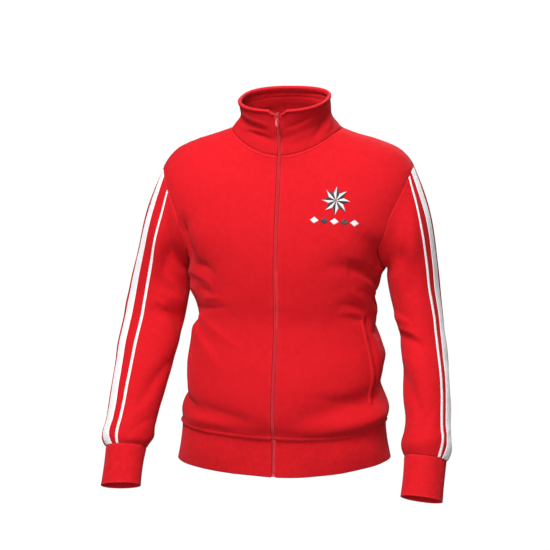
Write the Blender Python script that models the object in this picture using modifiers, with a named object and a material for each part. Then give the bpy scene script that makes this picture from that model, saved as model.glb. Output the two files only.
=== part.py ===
"""A zip-up knitted track top with a stand collar, filled out as if worn, with nobody inside.

The frame: +Z is up, -Y is the front, +X is the wearer's left. The origin is on the centre line,
level with the points where the shoulder seams meet the collar. All sizes are in metres.

Each cloth piece is a wall lofted through rings or sections. A ring of the body is a squared
ellipse, given in TORSO_RINGS. The folds are low ridges and troughs added to the walls' points.
"""

import math
from collections import namedtuple

import bmesh
import bpy
import numpy as np
from mathutils import Matrix

# Cloth
FLEECE = 0.0022  # brushed sweatshirt knit
RIB = 0.0026  # doubled rib of the cuffs and the hem
COLLAR_CLOTH = 0.0034  # two layers, turned over at the top edge
TAPE = 0.0008  # sewn-on sleeve bands and the woven tape of the zip
SEAM_GAP = 0.0003
SHARPEST_MITRE = 0.35  # keeps a wall's end from running out where two pieces meet at a sharp angle
BESIDE_SEAM = 0.004  # how far from a seam, in ring positions, a wall's direction is read
BAND_GAP = 0.0008  # between a sleeve and the band on it, which bridges the sleeve's facets

# Zip
ZIP_HALF_GAP = 0.0045  # from the centre line to each folded front edge
CHAIN_WIDTH = 0.0055
CHAIN_THICK = 0.0022
CHAIN_DEPTH = 0.0009  # of the chain's face behind the cloth's face
SHORTEST_LINK = 0.001  # of the strip that stands for the chain
TAPE_SHOWING = 0.0015  # of each tape beside the chain
TAPE_REACH = 0.0080  # of each tape under its front edge
TAPE_DEPTH = 0.00055  # of each tape behind the cloth's inner face
V_DEPTH = 0.0092  # the collar's front edges part over this height
V_HALF_WIDTH = 0.0165  # half the opening between the collar's edges at the top
SLIDER_SIZE = (0.0076, 0.0026, 0.0090)
SLIDER_DEPTH = 0.0001  # of the slider's middle behind the cloth's face
SLIDER_BELOW_V = 0.0010  # from the foot of the opening down to the slider's middle
BRIDGE_HALF_HEIGHT = 0.0027
BRIDGE_REACH = 0.0026  # of the slider's bridge in front of the slider's face
BRIDGE_WIDTH = 0.0018
BRIDGE_STOCK = 0.0007
TAB_LENGTH = 0.0205
TAB_WIDTHS = (0.0046, 0.0066)  # at the eye and at the foot
TAB_THICK = 0.0011
TAB_BAR = 0.0009  # of the tab's top bar, which turns under the bridge
TAB_WINDOW = (0.0024, 0.0042)  # width and height of the hole that the bridge passes through
TAB_AXIS_REACH = 0.0011  # of the tab's axis in front of the slider's face
STOP_SIZE = (0.0056, 0.0026, 0.0060)
SLIDER_ROUNDING = 0.0007
STOP_ROUNDING = 0.0006
ARCH_SQUARENESS = 0.7  # 1 makes the bridge a half ellipse, and less makes it squarer

# Grid of the walls. The rows stand at ring positions: 0 is the first ring and 1 the second.
FRONT_COLUMNS = 14
BACK_COLUMNS = 24
ARMHOLE_ROWS = 12
HEM_ROWS = (0, 0.12, 0.6, 1.1, 1.6, 2)
BLOUSE_ROWS = (2, 2.35, 2.7, 3, 3.4, 3.8)  # close together where the cloth falls over the hem
SIDE_ROWS_FROM = 4.3
SIDE_ROWS_STEP = 0.5
SHOULDER_ROWS = (0.55, 1.2, 2, 3, 4)  # above the shoulder tip, up to the collar seam
COLLAR_ROWS = (0, 0.5, 1, 1.6, 2.2, 2.8, 3.3, 3.7, 4)
CUFF_SHARES = (0, 0.12, 0.5, 0.88, 1)  # of the way from the cuff's seam to its end
SLEEVE_SECTION_STEPS = (3, 2, 2, 2, 2, 2, 2, 1, 1)  # rows from each ring to the next
GIRTH_RADIUS = 0.17  # metres along the cloth for each radian round the body, used by the folds
ARM_RADIUS = 0.055  # the same round a sleeve
FOLDS_START = 0.6  # ring positions over which the body's folds rise above the hem seam
FOLDS_STOP = 1.5  # and over which they die away below the shoulder
SLEEVE_FOLDS_START = 0.9  # ring positions over which they rise below the armhole
SLEEVE_FOLDS_STOP = 0.8  # and die away above the cuff

# The body form, from the hem's edge up to the collar seam. Above the underarm the side of a
# ring is a guide for the shape only, because the armhole is open there.
TorsoRing = namedtuple(
    "TorsoRing",
    "name left_z right_z half_width centre_y front_depth back_depth front_z back_z squareness rise",
    defaults=(2.0,),
)
TORSO_RINGS = [
    TorsoRing("hem_edge", -0.646, -0.668, 0.2173, -0.0465, 0.105, 0.106, -0.665, -0.660, 1.88),
    TorsoRing("hem_middle", -0.611, -0.628, 0.2090, -0.043, 0.105, 0.106, -0.630, -0.620, 2.30),
    TorsoRing("hem_seam", -0.573, -0.588, 0.2060, -0.040, 0.108, 0.107, -0.591, -0.580, 2.30),
    TorsoRing("blouse", -0.552, -0.564, 0.2090, -0.037, 0.121, 0.117, -0.566, -0.556, 2.35),
    TorsoRing("hip", -0.507, -0.515, 0.2000, -0.030, 0.127, 0.119, -0.517, -0.510, 2.35),
    TorsoRing("belly", -0.456, -0.460, 0.1985, -0.021, 0.125, 0.114, -0.462, -0.458, 2.35),
    TorsoRing("low_waist", -0.408, -0.408, 0.1900, -0.011, 0.121, 0.108, -0.410, -0.407, 2.35),
    TorsoRing("waist", -0.360, -0.360, 0.1800, -0.004, 0.119, 0.105, -0.362, -0.360, 2.35),
    TorsoRing("ribs", -0.310, -0.310, 0.1860, 0.000, 0.124, 0.112, -0.314, -0.312, 2.40),
    TorsoRing("underarm", -0.260, -0.260, 0.1960, 0.000, 0.129, 0.120, -0.268, -0.262, 2.45),
    TorsoRing("mid_armhole", -0.168, -0.168, 0.2440, 0.002, 0.126, 0.123, -0.196, -0.168, 2.45),
    TorsoRing("shoulder_tip", -0.072, -0.074, 0.2485, 0.004, 0.114, 0.114, -0.134, -0.098, 2.35),
    TorsoRing("shoulder_round", -0.044, -0.046, 0.2265, 0.004, 0.107, 0.107, -0.108, -0.068, 2.25),
    TorsoRing("shoulder_middle", -0.022, -0.023, 0.1800, 0.002, 0.098, 0.098, -0.084, -0.037, 2.15),
    TorsoRing("shoulder_inner", -0.010, -0.010, 0.1380, 0.000, 0.092, 0.087, -0.065, -0.012, 2.05),
    TorsoRing("collar_seam", 0.000, 0.000, 0.1085, -0.004, 0.086, 0.075, -0.050, 0.019, 2.00),
]
LEVEL = {ring.name: float(i) for i, ring in enumerate(TORSO_RINGS)}

# The collar, from its seam to the turned top edge
COLLAR_RINGS = [
    TORSO_RINGS[-1],
    TorsoRing("collar_low", 0.012, 0.012, 0.1000, -0.008, 0.0830, 0.0740, -0.031, 0.036, 2.00),
    TorsoRing("collar_break", 0.030, 0.029, 0.0905, -0.0155, 0.0810, 0.0720, -0.005, 0.052, 2.12, 1.8),
    TorsoRing("collar_high", 0.048, 0.046, 0.0882, -0.0235, 0.0800, 0.0712, 0.018, 0.0675, 2.25, 1.4),
    TorsoRing("collar_top", 0.0640, 0.0595, 0.0880, -0.031, 0.0815, 0.0700, 0.0374, 0.0810, 2.35, 1.0),
]

# How far the armhole opens to the front and the back of the side line, in degrees round the body
ARMHOLE_FRONT_DEG = 36.0
ARMHOLE_BACK_DEG = 40.0
ARMHOLE_CROWDING = 0.50  # draws the armhole's points towards the shoulder tip, in radians

# The sleeves hang from the armholes with the forearms a little forward. A ring's outer side is
# raised by raise_deg, and its front side is raised by lean_deg, both from level.
SleeveRing = namedtuple("SleeveRing", "name x y z half_across half_fore_aft raise_deg lean_deg")
LEFT_SLEEVE_RINGS = [
    SleeveRing("cap", 0.2415, 0.000, -0.2160, 0.0695, 0.0760, 54, 0),
    SleeveRing("upper_arm", 0.2500, -0.001, -0.2730, 0.0535, 0.0720, 24, 2),
    SleeveRing("biceps", 0.2580, -0.006, -0.3260, 0.0495, 0.0680, 6, 6),
    SleeveRing("elbow_upper", 0.2720, -0.026, -0.3880, 0.0450, 0.0630, 2, 13),
    SleeveRing("elbow", 0.2805, -0.052, -0.4350, 0.0440, 0.0600, 0, 22),
    SleeveRing("forearm", 0.2885, -0.098, -0.5020, 0.0450, 0.0550, -1, 28),
    SleeveRing("lower_forearm", 0.2930, -0.139, -0.5640, 0.0435, 0.0500, -2, 30),
    SleeveRing("blouse", 0.2925, -0.158, -0.5920, 0.0465, 0.0470, -4, 30),
    SleeveRing("cuff_seam", 0.2920, -0.166, -0.6060, 0.0400, 0.0400, -4, 29),
    SleeveRing("cuff_end", 0.2880, -0.202, -0.6710, 0.0392, 0.0385, -4, 28),
]
RIGHT_SLEEVE_RINGS = [
    SleeveRing("cap", 0.2420, 0.000, -0.2160, 0.0705, 0.0740, 54, 0),
    SleeveRing("upper_arm", 0.2535, -0.001, -0.2730, 0.0580, 0.0680, 24, 2),
    SleeveRing("biceps", 0.2625, -0.006, -0.3260, 0.0615, 0.0620, 8, 6),
    SleeveRing("elbow_upper", 0.2705, -0.026, -0.3880, 0.0625, 0.0540, 3, 13),
    SleeveRing("elbow", 0.2760, -0.052, -0.4350, 0.0615, 0.0500, 1, 22),
    SleeveRing("forearm", 0.2825, -0.098, -0.5080, 0.0550, 0.0460, 0, 28),
    SleeveRing("lower_forearm", 0.2875, -0.139, -0.5740, 0.0495, 0.0445, -2, 29),
    SleeveRing("blouse", 0.2900, -0.159, -0.6040, 0.0490, 0.0450, -4, 29),
    SleeveRing("cuff_seam", 0.2895, -0.167, -0.6170, 0.0405, 0.0390, -4, 28),
    SleeveRing("cuff_end", 0.2905, -0.2025, -0.6820, 0.0396, 0.0380, -6, 28),
]
CUFF_GRIP = 0.955  # the girth of a cuff's middle against the straight line between its ends

# Sewn-on bands down the sleeves: the angle of the middle from the sleeve's outer line to the front
SleeveBand = namedtuple("SleeveBand", "name left_deg right_deg width")
SLEEVE_BANDS = [
    SleeveBand("wide", 24.0, 46.0, 0.0220),
    SleeveBand("narrow", 50.0, 80.0, 0.0055),
]

# Pockets set in a slanted line on each front
POCKET_TOP_Z = -0.372
POCKET_BOTTOM_Z = -0.540
POCKET_ANGLE_DEG = 60.0
POCKET_WELT_WIDTH = 0.011
POCKET_WELT_THICK = 0.0016

# Folds of the body: from one end to the other in degrees round the body (0 at the zip, positive
# to the wearer's left, 180 at the middle of the back) and height. Height is depth over the cloth.
Fold = namedtuple("Fold", "from_deg from_z to_deg to_z sag width height")
TORSO_FOLDS = [
    # under the wearer's right arm
    Fold(-42, -0.182, -60, -0.262, 0.002, 0.012, -0.0080),
    Fold(-30, -0.172, -50, -0.262, 0.004, 0.012, 0.0036),
    Fold(-106, -0.340, -62, -0.312, 0.004, 0.020, 0.0095),
    Fold(-108, -0.386, -66, -0.374, 0.002, 0.014, -0.0085),
    Fold(-84, -0.398, -34, -0.440, 0.012, 0.020, 0.0055),
    Fold(-60, -0.394, -26, -0.450, 0.008, 0.012, -0.0026),
    # under the wearer's left arm
    Fold(38, -0.200, 82, -0.262, 0.000, 0.015, -0.0085),
    Fold(30, -0.254, 92, -0.306, 0.006, 0.018, -0.0090),
    Fold(104, -0.330, 78, -0.324, 0.002, 0.012, -0.0065),
    Fold(106, -0.392, 74, -0.394, 0.002, 0.013, -0.0090),
    Fold(92, -0.420, 88, -0.490, 0.000, 0.024, -0.0045),
    Fold(106, -0.444, 76, -0.440, 0.004, 0.018, 0.0060),
    Fold(108, -0.500, 74, -0.496, 0.003, 0.016, -0.0060),
    # fullness above the hem
    Fold(-100, -0.520, -54, -0.545, 0.004, 0.017, -0.0075),
    Fold(-72, -0.556, -8, -0.560, 0.006, 0.022, -0.0080),
    Fold(8, -0.552, 76, -0.515, 0.010, 0.022, -0.0110),
    Fold(18, -0.578, 96, -0.552, 0.004, 0.018, 0.0050),
    # the back, which the photograph doesn't show
    Fold(104, -0.230, 150, -0.300, 0.012, 0.024, -0.0090),
    Fold(-104, -0.225, -146, -0.310, -0.014, 0.024, -0.0090),
    Fold(120, -0.372, 174, -0.352, -0.006, 0.020, -0.0075),
    Fold(-118, -0.366, -170, -0.388, 0.006, 0.020, -0.0075),
    Fold(112, -0.536, 178, -0.548, 0.006, 0.022, -0.0100),
    Fold(-110, -0.540, -172, -0.536, 0.006, 0.022, -0.0100),
]

# Folds of each sleeve: degrees round the sleeve from its outer line to the front, and metres
# down the arm from the armhole
SleeveFold = namedtuple("SleeveFold", "from_deg from_along to_deg to_along sag width height")
LEFT_SLEEVE_FOLDS = [
    SleeveFold(118, 0.045, 84, 0.160, 0.010, 0.018, -0.0070),
    SleeveFold(168, 0.250, 78, 0.285, 0.006, 0.016, -0.0080),
    SleeveFold(170, 0.212, 108, 0.222, 0.004, 0.016, 0.0060),
    SleeveFold(175, 0.320, 98, 0.440, 0.008, 0.018, -0.0070),
    SleeveFold(-60, 0.230, -150, 0.260, 0.006, 0.018, -0.0070),
    SleeveFold(-50, 0.290, -130, 0.270, 0.006, 0.017, -0.0060),
]
RIGHT_SLEEVE_FOLDS = [
    SleeveFold(130, 0.045, 108, 0.180, 0.010, 0.018, -0.0070),
    SleeveFold(176, 0.250, 112, 0.215, 0.008, 0.016, -0.0085),
    SleeveFold(172, 0.215, 124, 0.175, 0.004, 0.016, 0.0060),
    SleeveFold(175, 0.320, 116, 0.440, 0.010, 0.018, -0.0075),
    SleeveFold(-60, 0.240, -150, 0.250, 0.006, 0.018, -0.0070),
    SleeveFold(-50, 0.280, -130, 0.300, 0.006, 0.017, -0.0060),
]

CLOTH_RED = (0.62, 0.008, 0.018)
BAND_WHITE = (0.86, 0.84, 0.85)
ZIP_RED = (0.30, 0.020, 0.028)
TAB_RED = (0.70, 0.045, 0.050)


# ---------------------------------------------------------------- curves and surfaces


def along_keys(keys, level, knots):
    """A smooth curve through the keys, which lie at the distances knots. level counts the keys.
    The keys are numbers, or arrays of points with one point for each value of level."""
    last = len(keys) - 1
    level = np.clip(level, 0, last)
    i = np.minimum(level.astype(int), last - 1)

    def key(index):
        index = np.clip(index, 0, last)
        if keys.ndim == 1:
            return keys[index]
        return np.take_along_axis(keys, index[None, ..., None], axis=0)[0]

    def column(numbers):
        return numbers if keys.ndim == 1 else numbers[..., None]

    steps = np.diff(knots)
    here, before, after = (
        column(steps[np.clip(i + shift, 0, last - 1)]) for shift in (0, -1, 1)
    )
    f = column(level - i)
    slope = (key(i + 1) - key(i)) / here
    slope_before = np.where(column(i == 0), slope, (key(i) - key(i - 1)) / before)
    slope_after = np.where(column(i == last - 1), slope, (key(i + 2) - key(i + 1)) / after)
    start = (here * slope_before + before * slope) / (here + before)
    end = (here * slope_after + after * slope) / (here + after)
    curve = key(i) + (key(i + 1) - key(i)) * f * f * (3 - 2 * f)
    return curve + here * (start * f * (1 - f) ** 2 - end * f * f * (1 - f))


def unit(v):
    return v / np.maximum(np.linalg.norm(v, axis=-1, keepdims=True), 1e-12)


def smooth_step(t):
    t = np.clip(t, 0, 1)
    return t * t * (3 - 2 * t)


def ring_knots(rings):
    """How far each ring is from the first, measured over the shoulder and down the side."""
    heights = [(ring.left_z + ring.right_z + ring.front_z + ring.back_z) / 4 for ring in rings]
    widths = [ring.half_width for ring in rings]
    return np.concatenate([[0], np.cumsum(np.hypot(np.diff(heights), np.diff(widths)))])


def ring_surface(rings, phi, level):
    """Points on the form that the rings describe, at the angle phi and the ring position level."""
    phi, level = np.broadcast_arrays(np.asarray(phi, float), np.asarray(level, float))
    knots = ring_knots(rings)
    column = {
        name: along_keys(np.array([getattr(ring, name) for ring in rings]), level, knots)
        for name in TorsoRing._fields[1:]
    }
    power = 2 / column["squareness"]
    side_z = np.where(np.sin(phi) > 0, column["left_z"], column["right_z"])
    across = np.sign(np.sin(phi)) * np.abs(np.sin(phi)) ** power
    ahead = np.sign(np.cos(phi)) * np.abs(np.cos(phi)) ** power
    front = ahead > 0
    depth = np.where(front, column["front_depth"], column["back_depth"])
    middle_z = np.where(front, column["front_z"], column["back_z"])
    x = column["half_width"] * across
    y = column["centre_y"] - depth * ahead
    z = side_z + (middle_z - side_z) * np.abs(ahead) ** column["rise"]
    return np.stack([x, y, z], axis=-1)


def fold_height(folds, around, along, radius):
    """The sum of the folds at places given by an angle in radians and a distance."""
    total = np.zeros(np.broadcast(around, along).shape)
    for start_deg, start, end_deg, end, sag, width, height in folds:
        a = np.array([math.radians(start_deg) * radius, start])
        b = np.array([math.radians(end_deg) * radius, end])
        run = b - a
        length = np.linalg.norm(run)
        side = np.array([-run[1], run[0]]) / length
        wrapped = np.angle(np.exp(1j * (around - math.radians((start_deg + end_deg) / 2))))
        here = wrapped + math.radians((start_deg + end_deg) / 2)
        p = np.stack(np.broadcast_arrays(here * radius, along), axis=-1) - a
        share = p @ run / length**2
        off = p @ side - 4 * sag * share * (1 - share)
        beyond = np.maximum(np.maximum(-share, share - 1), 0) * length
        taper = 0.35 + 0.65 * np.sin(np.pi * np.clip(share, 0, 1)) ** 0.7
        total = total + height * taper * np.exp(-((off / width) ** 2) - (beyond / width) ** 2)
    return total


def normals_of(surface, u, v, step=2e-3):
    """Outward directions of a surface that is a function of two positions."""
    along_u = surface(u + step, v) - surface(u - step, v)
    along_v = surface(u, v + step) - surface(u, v - step)
    return unit(np.cross(along_u, along_v))


def torso_form(phi, level):
    return ring_surface(TORSO_RINGS, phi, level)


def torso(phi, level):
    """The outer face of the body cloth, with its folds."""
    base = torso_form(phi, level)
    height = fold_height(TORSO_FOLDS, phi, base[..., 2], GIRTH_RADIUS)
    fade = smooth_step((level - LEVEL["hem_seam"]) / FOLDS_START)
    fade = fade * smooth_step((LEVEL["shoulder_tip"] + 0.5 - level) / FOLDS_STOP)
    return base + normals_of(torso_form, phi, level) * (height * fade)[..., None]


def torso_normal(phi, level):
    return normals_of(torso, phi, level)


def collar(phi, level):
    return ring_surface(COLLAR_RINGS, phi, level)


def armhole_angle(theta, side):
    """(phi, level) of the armhole's edge at theta: 0 at the shoulder tip, a quarter turn at the
    front and a half turn at the underarm. side is 1 for the wearer's left and -1 for the right."""
    crowded = theta - ARMHOLE_CROWDING * np.sin(theta)
    share = (1 + np.cos(crowded)) / 2
    low, high = LEVEL["underarm"], LEVEL["shoulder_tip"]
    opening = np.where(np.sin(theta) >= 0, ARMHOLE_FRONT_DEG, -ARMHOLE_BACK_DEG)
    from_side = np.radians(opening) * np.abs(np.sin(crowded))
    return side * (math.pi / 2 - from_side), low + (high - low) * share


def sleeve_ring_points(ring, theta, side):
    """One ring of a sleeve: theta is 0 on the outer line and a quarter turn at the front."""
    raised, lean = math.radians(ring.raise_deg), math.radians(ring.lean_deg)
    out = np.array([side * math.cos(raised), 0, math.sin(raised)])
    ahead = np.array([0, -math.cos(lean), math.sin(lean)])
    middle = np.array([side * ring.x, ring.y, ring.z])
    across = np.cos(theta)[..., None] * ring.half_across * out
    return middle + across + np.sin(theta)[..., None] * ring.half_fore_aft * ahead


def sleeve_rings(side):
    """The rings of a sleeve down to the cuff seam, without the cuff's end."""
    return (LEFT_SLEEVE_RINGS if side > 0 else RIGHT_SLEEVE_RINGS)[:-1]


def arm_distance(side):
    """Metres down the arm of the armhole and of each ring."""
    middles = [[0.215, 0.0, -0.165]] + [[r.x, r.y, r.z] for r in sleeve_rings(side)]
    steps = np.linalg.norm(np.diff(np.array(middles), axis=0), axis=1)
    return np.concatenate([[0], np.cumsum(steps)])


def sleeve_form(theta, level, side):
    """A sleeve's outer face without its folds. Level 0 is the armhole, level 1 the first ring."""
    theta, level = np.broadcast_arrays(np.asarray(theta, float), np.asarray(level, float))
    phi, torso_level = armhole_angle(theta, side)
    keys = [torso(phi, torso_level)]
    keys += [sleeve_ring_points(ring, theta, side) for ring in sleeve_rings(side)]
    return along_keys(np.stack(keys), level, arm_distance(side))


def sleeve(theta, level, side):
    """A sleeve's outer face, with its folds."""
    base = sleeve_form(theta, level, side)
    folds = LEFT_SLEEVE_FOLDS if side > 0 else RIGHT_SLEEVE_FOLDS
    distance = arm_distance(side)
    along = np.interp(level, np.arange(len(distance)), distance)
    last = len(distance) - 1
    fade = smooth_step(level / SLEEVE_FOLDS_START)
    fade = fade * smooth_step((last - level) / SLEEVE_FOLDS_STOP)
    height = fold_height(folds, theta, along, ARM_RADIUS) * fade
    direction = normals_of(lambda t, v: sleeve_form(t, v, side), theta, level) * side
    return base + direction * height[..., None]


def sleeve_normal(theta, level, side):
    return normals_of(lambda t, v: sleeve(t, v, side), theta, level) * side


# ---------------------------------------------------------------- walls


def even_angles(surface, level, start, end, count):
    """Angles that divide a section of the surface into equal lengths of cloth."""
    dense = np.linspace(start, end, 121)
    points = surface(dense, np.full(dense.shape, float(level)))
    run = np.concatenate([[0], np.cumsum(np.linalg.norm(np.diff(points, axis=0), axis=1))])
    return np.interp(np.linspace(0, run[-1], count + 1), run, dense)


def angle_at(surface, level, half_gap):
    """The angle at which the cloth is half_gap to the wearer's left of the centre line."""
    dense = np.linspace(0, 0.6, 241)
    points = surface(dense, np.full(dense.shape, float(level)))
    return float(np.interp(half_gap, points[:, 0], dense))


def draw_in(points, rows=(0, 0), columns=(0, 0)):
    """Pulls the first and last rows and columns in by these amounts, so that seams don't touch.
    An amount is one number, or one for each point of the edge."""
    moved = points.copy()
    for axis, (first, last) in ((0, rows), (1, columns)):
        at = [slice(None)] * 3
        for edge, inner, amount in ((0, 1, first), (-1, -2, last)):
            at[axis] = edge
            edge_at = tuple(at)
            at[axis] = inner
            towards = unit(points[tuple(at)] - points[edge_at])
            moved[edge_at] = moved[edge_at] + towards * np.reshape(amount, (-1, 1))
    return moved


def rim(mesh, outer, inner, reverse):
    """The faces of a wall's edge. Each diagonal starts at the lower outer point, so that the two
    edges of a seam split in the same way."""
    for o0, o1, i0, i1 in zip(outer, outer[1:], inner, inner[1:]):
        if o0.co.z <= o1.co.z:
            faces = [(o0, i0, i1), (o0, i1, o1)]
        else:
            faces = [(o0, i0, o1), (o1, i0, i1)]
        for face in faces:
            mesh.faces.new(face[::-1] if reverse else face)


def wall(name, outer, inner, material, around=False):
    """A closed wall between two grids of points. Around joins the last column to the first."""
    mesh = bmesh.new()
    out, back = (
        [[mesh.verts.new(point) for point in row] for row in sheet] for sheet in (outer, inner)
    )
    if around:
        out, back = ([[*row, row[0]] for row in sheet] for sheet in (out, back))
    for i in range(len(out) - 1):
        for j in range(len(out[0]) - 1):
            k = j + 1
            mesh.faces.new((out[i][j], out[i][k], out[i + 1][k], out[i + 1][j]))
            mesh.faces.new((back[i][j], back[i + 1][j], back[i + 1][k], back[i][k]))
    rim(mesh, out[0], back[0], False)
    rim(mesh, out[-1], back[-1], True)
    if not around:
        rim(mesh, [row[0] for row in out], [row[0] for row in back], True)
        rim(mesh, [row[-1] for row in out], [row[-1] for row in back], False)
    if mesh.calc_volume(signed=True) < 0:
        bmesh.ops.reverse_faces(mesh, faces=mesh.faces[:])
    return finish_mesh(name, mesh, material)


def finish_mesh(name, mesh, material):
    data = bpy.data.meshes.new(name)
    mesh.to_mesh(data)
    mesh.free()
    data.shade_smooth()
    data.set_sharp_from_angle(angle=math.radians(50))
    data.materials.append(material)
    thing = bpy.data.objects.new(name, data)
    PART.objects.link(thing)
    return thing


def material_of(name, colour, roughness, metallic=0.0):
    made = bpy.data.materials.new(name)
    made.use_nodes = True
    shader = made.node_tree.nodes["Principled BSDF"]
    shader.inputs["Base Color"].default_value = (*colour, 1)
    shader.inputs["Roughness"].default_value = roughness
    shader.inputs["Metallic"].default_value = metallic
    return made


def body_levels():
    """Ring positions of the rows of the body panels, from the hem seam to the collar seam."""
    under, tip = LEVEL["underarm"], LEVEL["shoulder_tip"]
    below = np.concatenate([BLOUSE_ROWS, np.arange(SIDE_ROWS_FROM, under, SIDE_ROWS_STEP)])
    armhole = armhole_angle(np.linspace(math.pi, 0, ARMHOLE_ROWS + 1), 1)[1]
    above = tip + np.array(SHOULDER_ROWS)
    return np.concatenate([below, armhole, above]), len(below)


def side_angles(levels, first_armhole, towards):
    """The angle at which each row of a panel ends: the side seam, the armhole's edge or the
    shoulder seam. towards is 1 for a front and -1 for the back."""
    ends = np.full(len(levels), math.pi / 2)
    theta = towards * np.linspace(math.pi, 0, ARMHOLE_ROWS + 1)
    ends[first_armhole : first_armhole + ARMHOLE_ROWS + 1] = armhole_angle(theta, 1)[0]
    return ends


def armhole_mitres(side):
    """Directions at the armhole's edge that both the body wall and the sleeve wall end on, for
    the front half and the back half, from the underarm to the shoulder tip."""
    halves = []
    for sign in (1, -1):
        theta = sign * np.linspace(math.pi, 0, ARMHOLE_ROWS + 1)
        phi, level = armhole_angle(theta, side)
        of_body = torso_normal(phi, level)
        of_sleeve = sleeve_normal(theta, np.full(theta.shape, BESIDE_SEAM), side)
        cosine = np.sum(of_body * of_sleeve, axis=-1, keepdims=True)
        halves.append((of_body + of_sleeve) / np.maximum(1 + cosine, SHARPEST_MITRE))
    return halves


def panel_grid(columns, start_angles, end_angles, levels):
    """Angles and levels of a body panel's points."""
    phi = np.array(
        [
            even_angles(torso, level, start, end, columns)
            for level, start, end in zip(levels, start_angles, end_angles)
        ]
    )
    return phi, np.repeat(levels[:, None], columns + 1, axis=1)


def body_panel(name, phi, level, mitres, first_armhole, material):
    """A body panel's wall. mitres gives, for its first and last column, the directions at the
    armhole or None."""
    outer = torso(phi, level)
    direction = torso_normal(phi, level)
    half = SEAM_GAP / 2
    pulls = {0: np.full(len(level), half), -1: np.full(len(level), half)}
    for column, mitre in mitres:
        rows = slice(first_armhole, first_armhole + len(mitre))
        direction[rows, column] = mitre
        pulls[column][rows] = half * np.linalg.norm(mitre, axis=1)
    inner = outer - direction * FLEECE
    shape = {"rows": (half, half), "columns": (pulls[0], pulls[-1])}
    outer, inner = draw_in(outer, **shape), draw_in(inner, **shape)
    return wall(name, outer, inner, material), outer, inner


def make_body(material):
    """The two fronts and the back."""
    levels, first = body_levels()
    front_ends = side_angles(levels, first, 1)
    back_ends = side_angles(levels, first, -1)
    starts = np.array([angle_at(torso, level, ZIP_HALF_GAP) for level in levels])
    grids = {}
    for side, word in ((1, "left"), (-1, "right")):
        front_mitre = armhole_mitres(side)[0]
        phi, level = panel_grid(FRONT_COLUMNS, side * starts, side * front_ends, levels)
        _, outer, inner = body_panel(
            f"front_{word}", phi, level, [(-1, front_mitre)], first, material
        )
        grids[side] = (outer, inner)
    phi, level = panel_grid(BACK_COLUMNS, back_ends, 2 * math.pi - back_ends, levels)
    mitres = [(0, armhole_mitres(1)[1]), (-1, armhole_mitres(-1)[1])]
    body_panel("back", phi, level, mitres, first, material)
    return grids


def hem_columns(level, surface, start):
    """The angles of the points round the body at one level, from one front edge to the other."""
    left = even_angles(surface, level, start, math.pi / 2, FRONT_COLUMNS)
    back = even_angles(surface, level, math.pi / 2, 3 * math.pi / 2, BACK_COLUMNS)
    return np.concatenate([left, back[1:], (2 * math.pi - left[::-1])[1:]])


def make_hem_band(material):
    """The rib band round the hem, from one front edge to the other."""
    levels = np.array(HEM_ROWS, float)
    phi = np.array([hem_columns(v, torso, angle_at(torso, v, ZIP_HALF_GAP)) for v in levels])
    level = np.repeat(levels[:, None], phi.shape[1], axis=1)
    outer = torso(phi, level)
    inner = outer - torso_normal(phi, level) * RIB
    half = SEAM_GAP / 2
    outer, inner = (draw_in(sheet, rows=(0, half)) for sheet in (outer, inner))
    wall("hem_band", outer, inner, material)
    return outer, inner


def collar_half_gap(level):
    """Half the gap between the collar's front edges, which part above the slider."""
    heights = np.array([ring.front_z for ring in COLLAR_RINGS])
    front = along_keys(heights, np.asarray(level, float), ring_knots(COLLAR_RINGS))
    top = COLLAR_RINGS[-1].front_z
    parted = smooth_step((front - (top - V_DEPTH)) / V_DEPTH)
    return ZIP_HALF_GAP + (V_HALF_WIDTH - ZIP_HALF_GAP) * parted


def make_collar(material):
    """The stand collar, two layers thick, open at the front."""
    levels = np.array(COLLAR_ROWS, float)
    phi = np.array(
        [hem_columns(v, collar, angle_at(collar, v, float(collar_half_gap(v)))) for v in levels]
    )
    level = np.repeat(levels[:, None], phi.shape[1], axis=1)
    outer = collar(phi, level)
    direction = normals_of(collar, phi, level)
    joint = torso_normal(phi[0], np.full(phi[0].shape, LEVEL["collar_seam"] - BESIDE_SEAM))
    cosine = np.sum(direction[0] * joint, axis=-1, keepdims=True)
    direction[0] = (direction[0] + joint) / (1 + cosine)
    thickness = np.full(levels.shape, COLLAR_CLOTH)
    thickness[0] = FLEECE
    inner = outer - direction * thickness[:, None, None]
    half = SEAM_GAP / 2
    outer, inner = (draw_in(sheet, rows=(half, 0)) for sheet in (outer, inner))
    wall("collar", outer, inner, material)
    return outer, inner


def sleeve_levels():
    levels = [0.0]
    for number, steps in enumerate(SLEEVE_SECTION_STEPS):
        levels += [number + (k + 1) / steps for k in range(steps)]
    return np.array(levels)


def make_sleeve(side, word, cloth, rib, band):
    """A sleeve, its cuff and the bands sewn down its outer side."""
    count = 2 * ARMHOLE_ROWS
    theta = np.linspace(0, 2 * math.pi, count + 1)[:-1]
    levels = sleeve_levels()
    grid_theta = np.repeat(theta[None, :], len(levels), axis=0)
    grid_level = np.repeat(levels[:, None], count, axis=1)
    outer = sleeve(grid_theta, grid_level, side)
    direction = sleeve_normal(grid_theta, grid_level, side)
    front, back = armhole_mitres(side)
    direction[0] = np.concatenate([front[::-1], back[1:-1]])
    inner = outer - direction * FLEECE
    half = SEAM_GAP / 2
    pull = half * np.linalg.norm(direction[0], axis=1)
    outer, inner = (draw_in(sheet, rows=(pull, half)) for sheet in (outer, inner))
    wall(f"sleeve_{word}", outer, inner, cloth, around=True)
    make_cuff(side, word, theta, rib)
    for row in SLEEVE_BANDS:
        make_band(f"band_{row.name}_{word}", row, side, theta, outer, direction, band)


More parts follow.
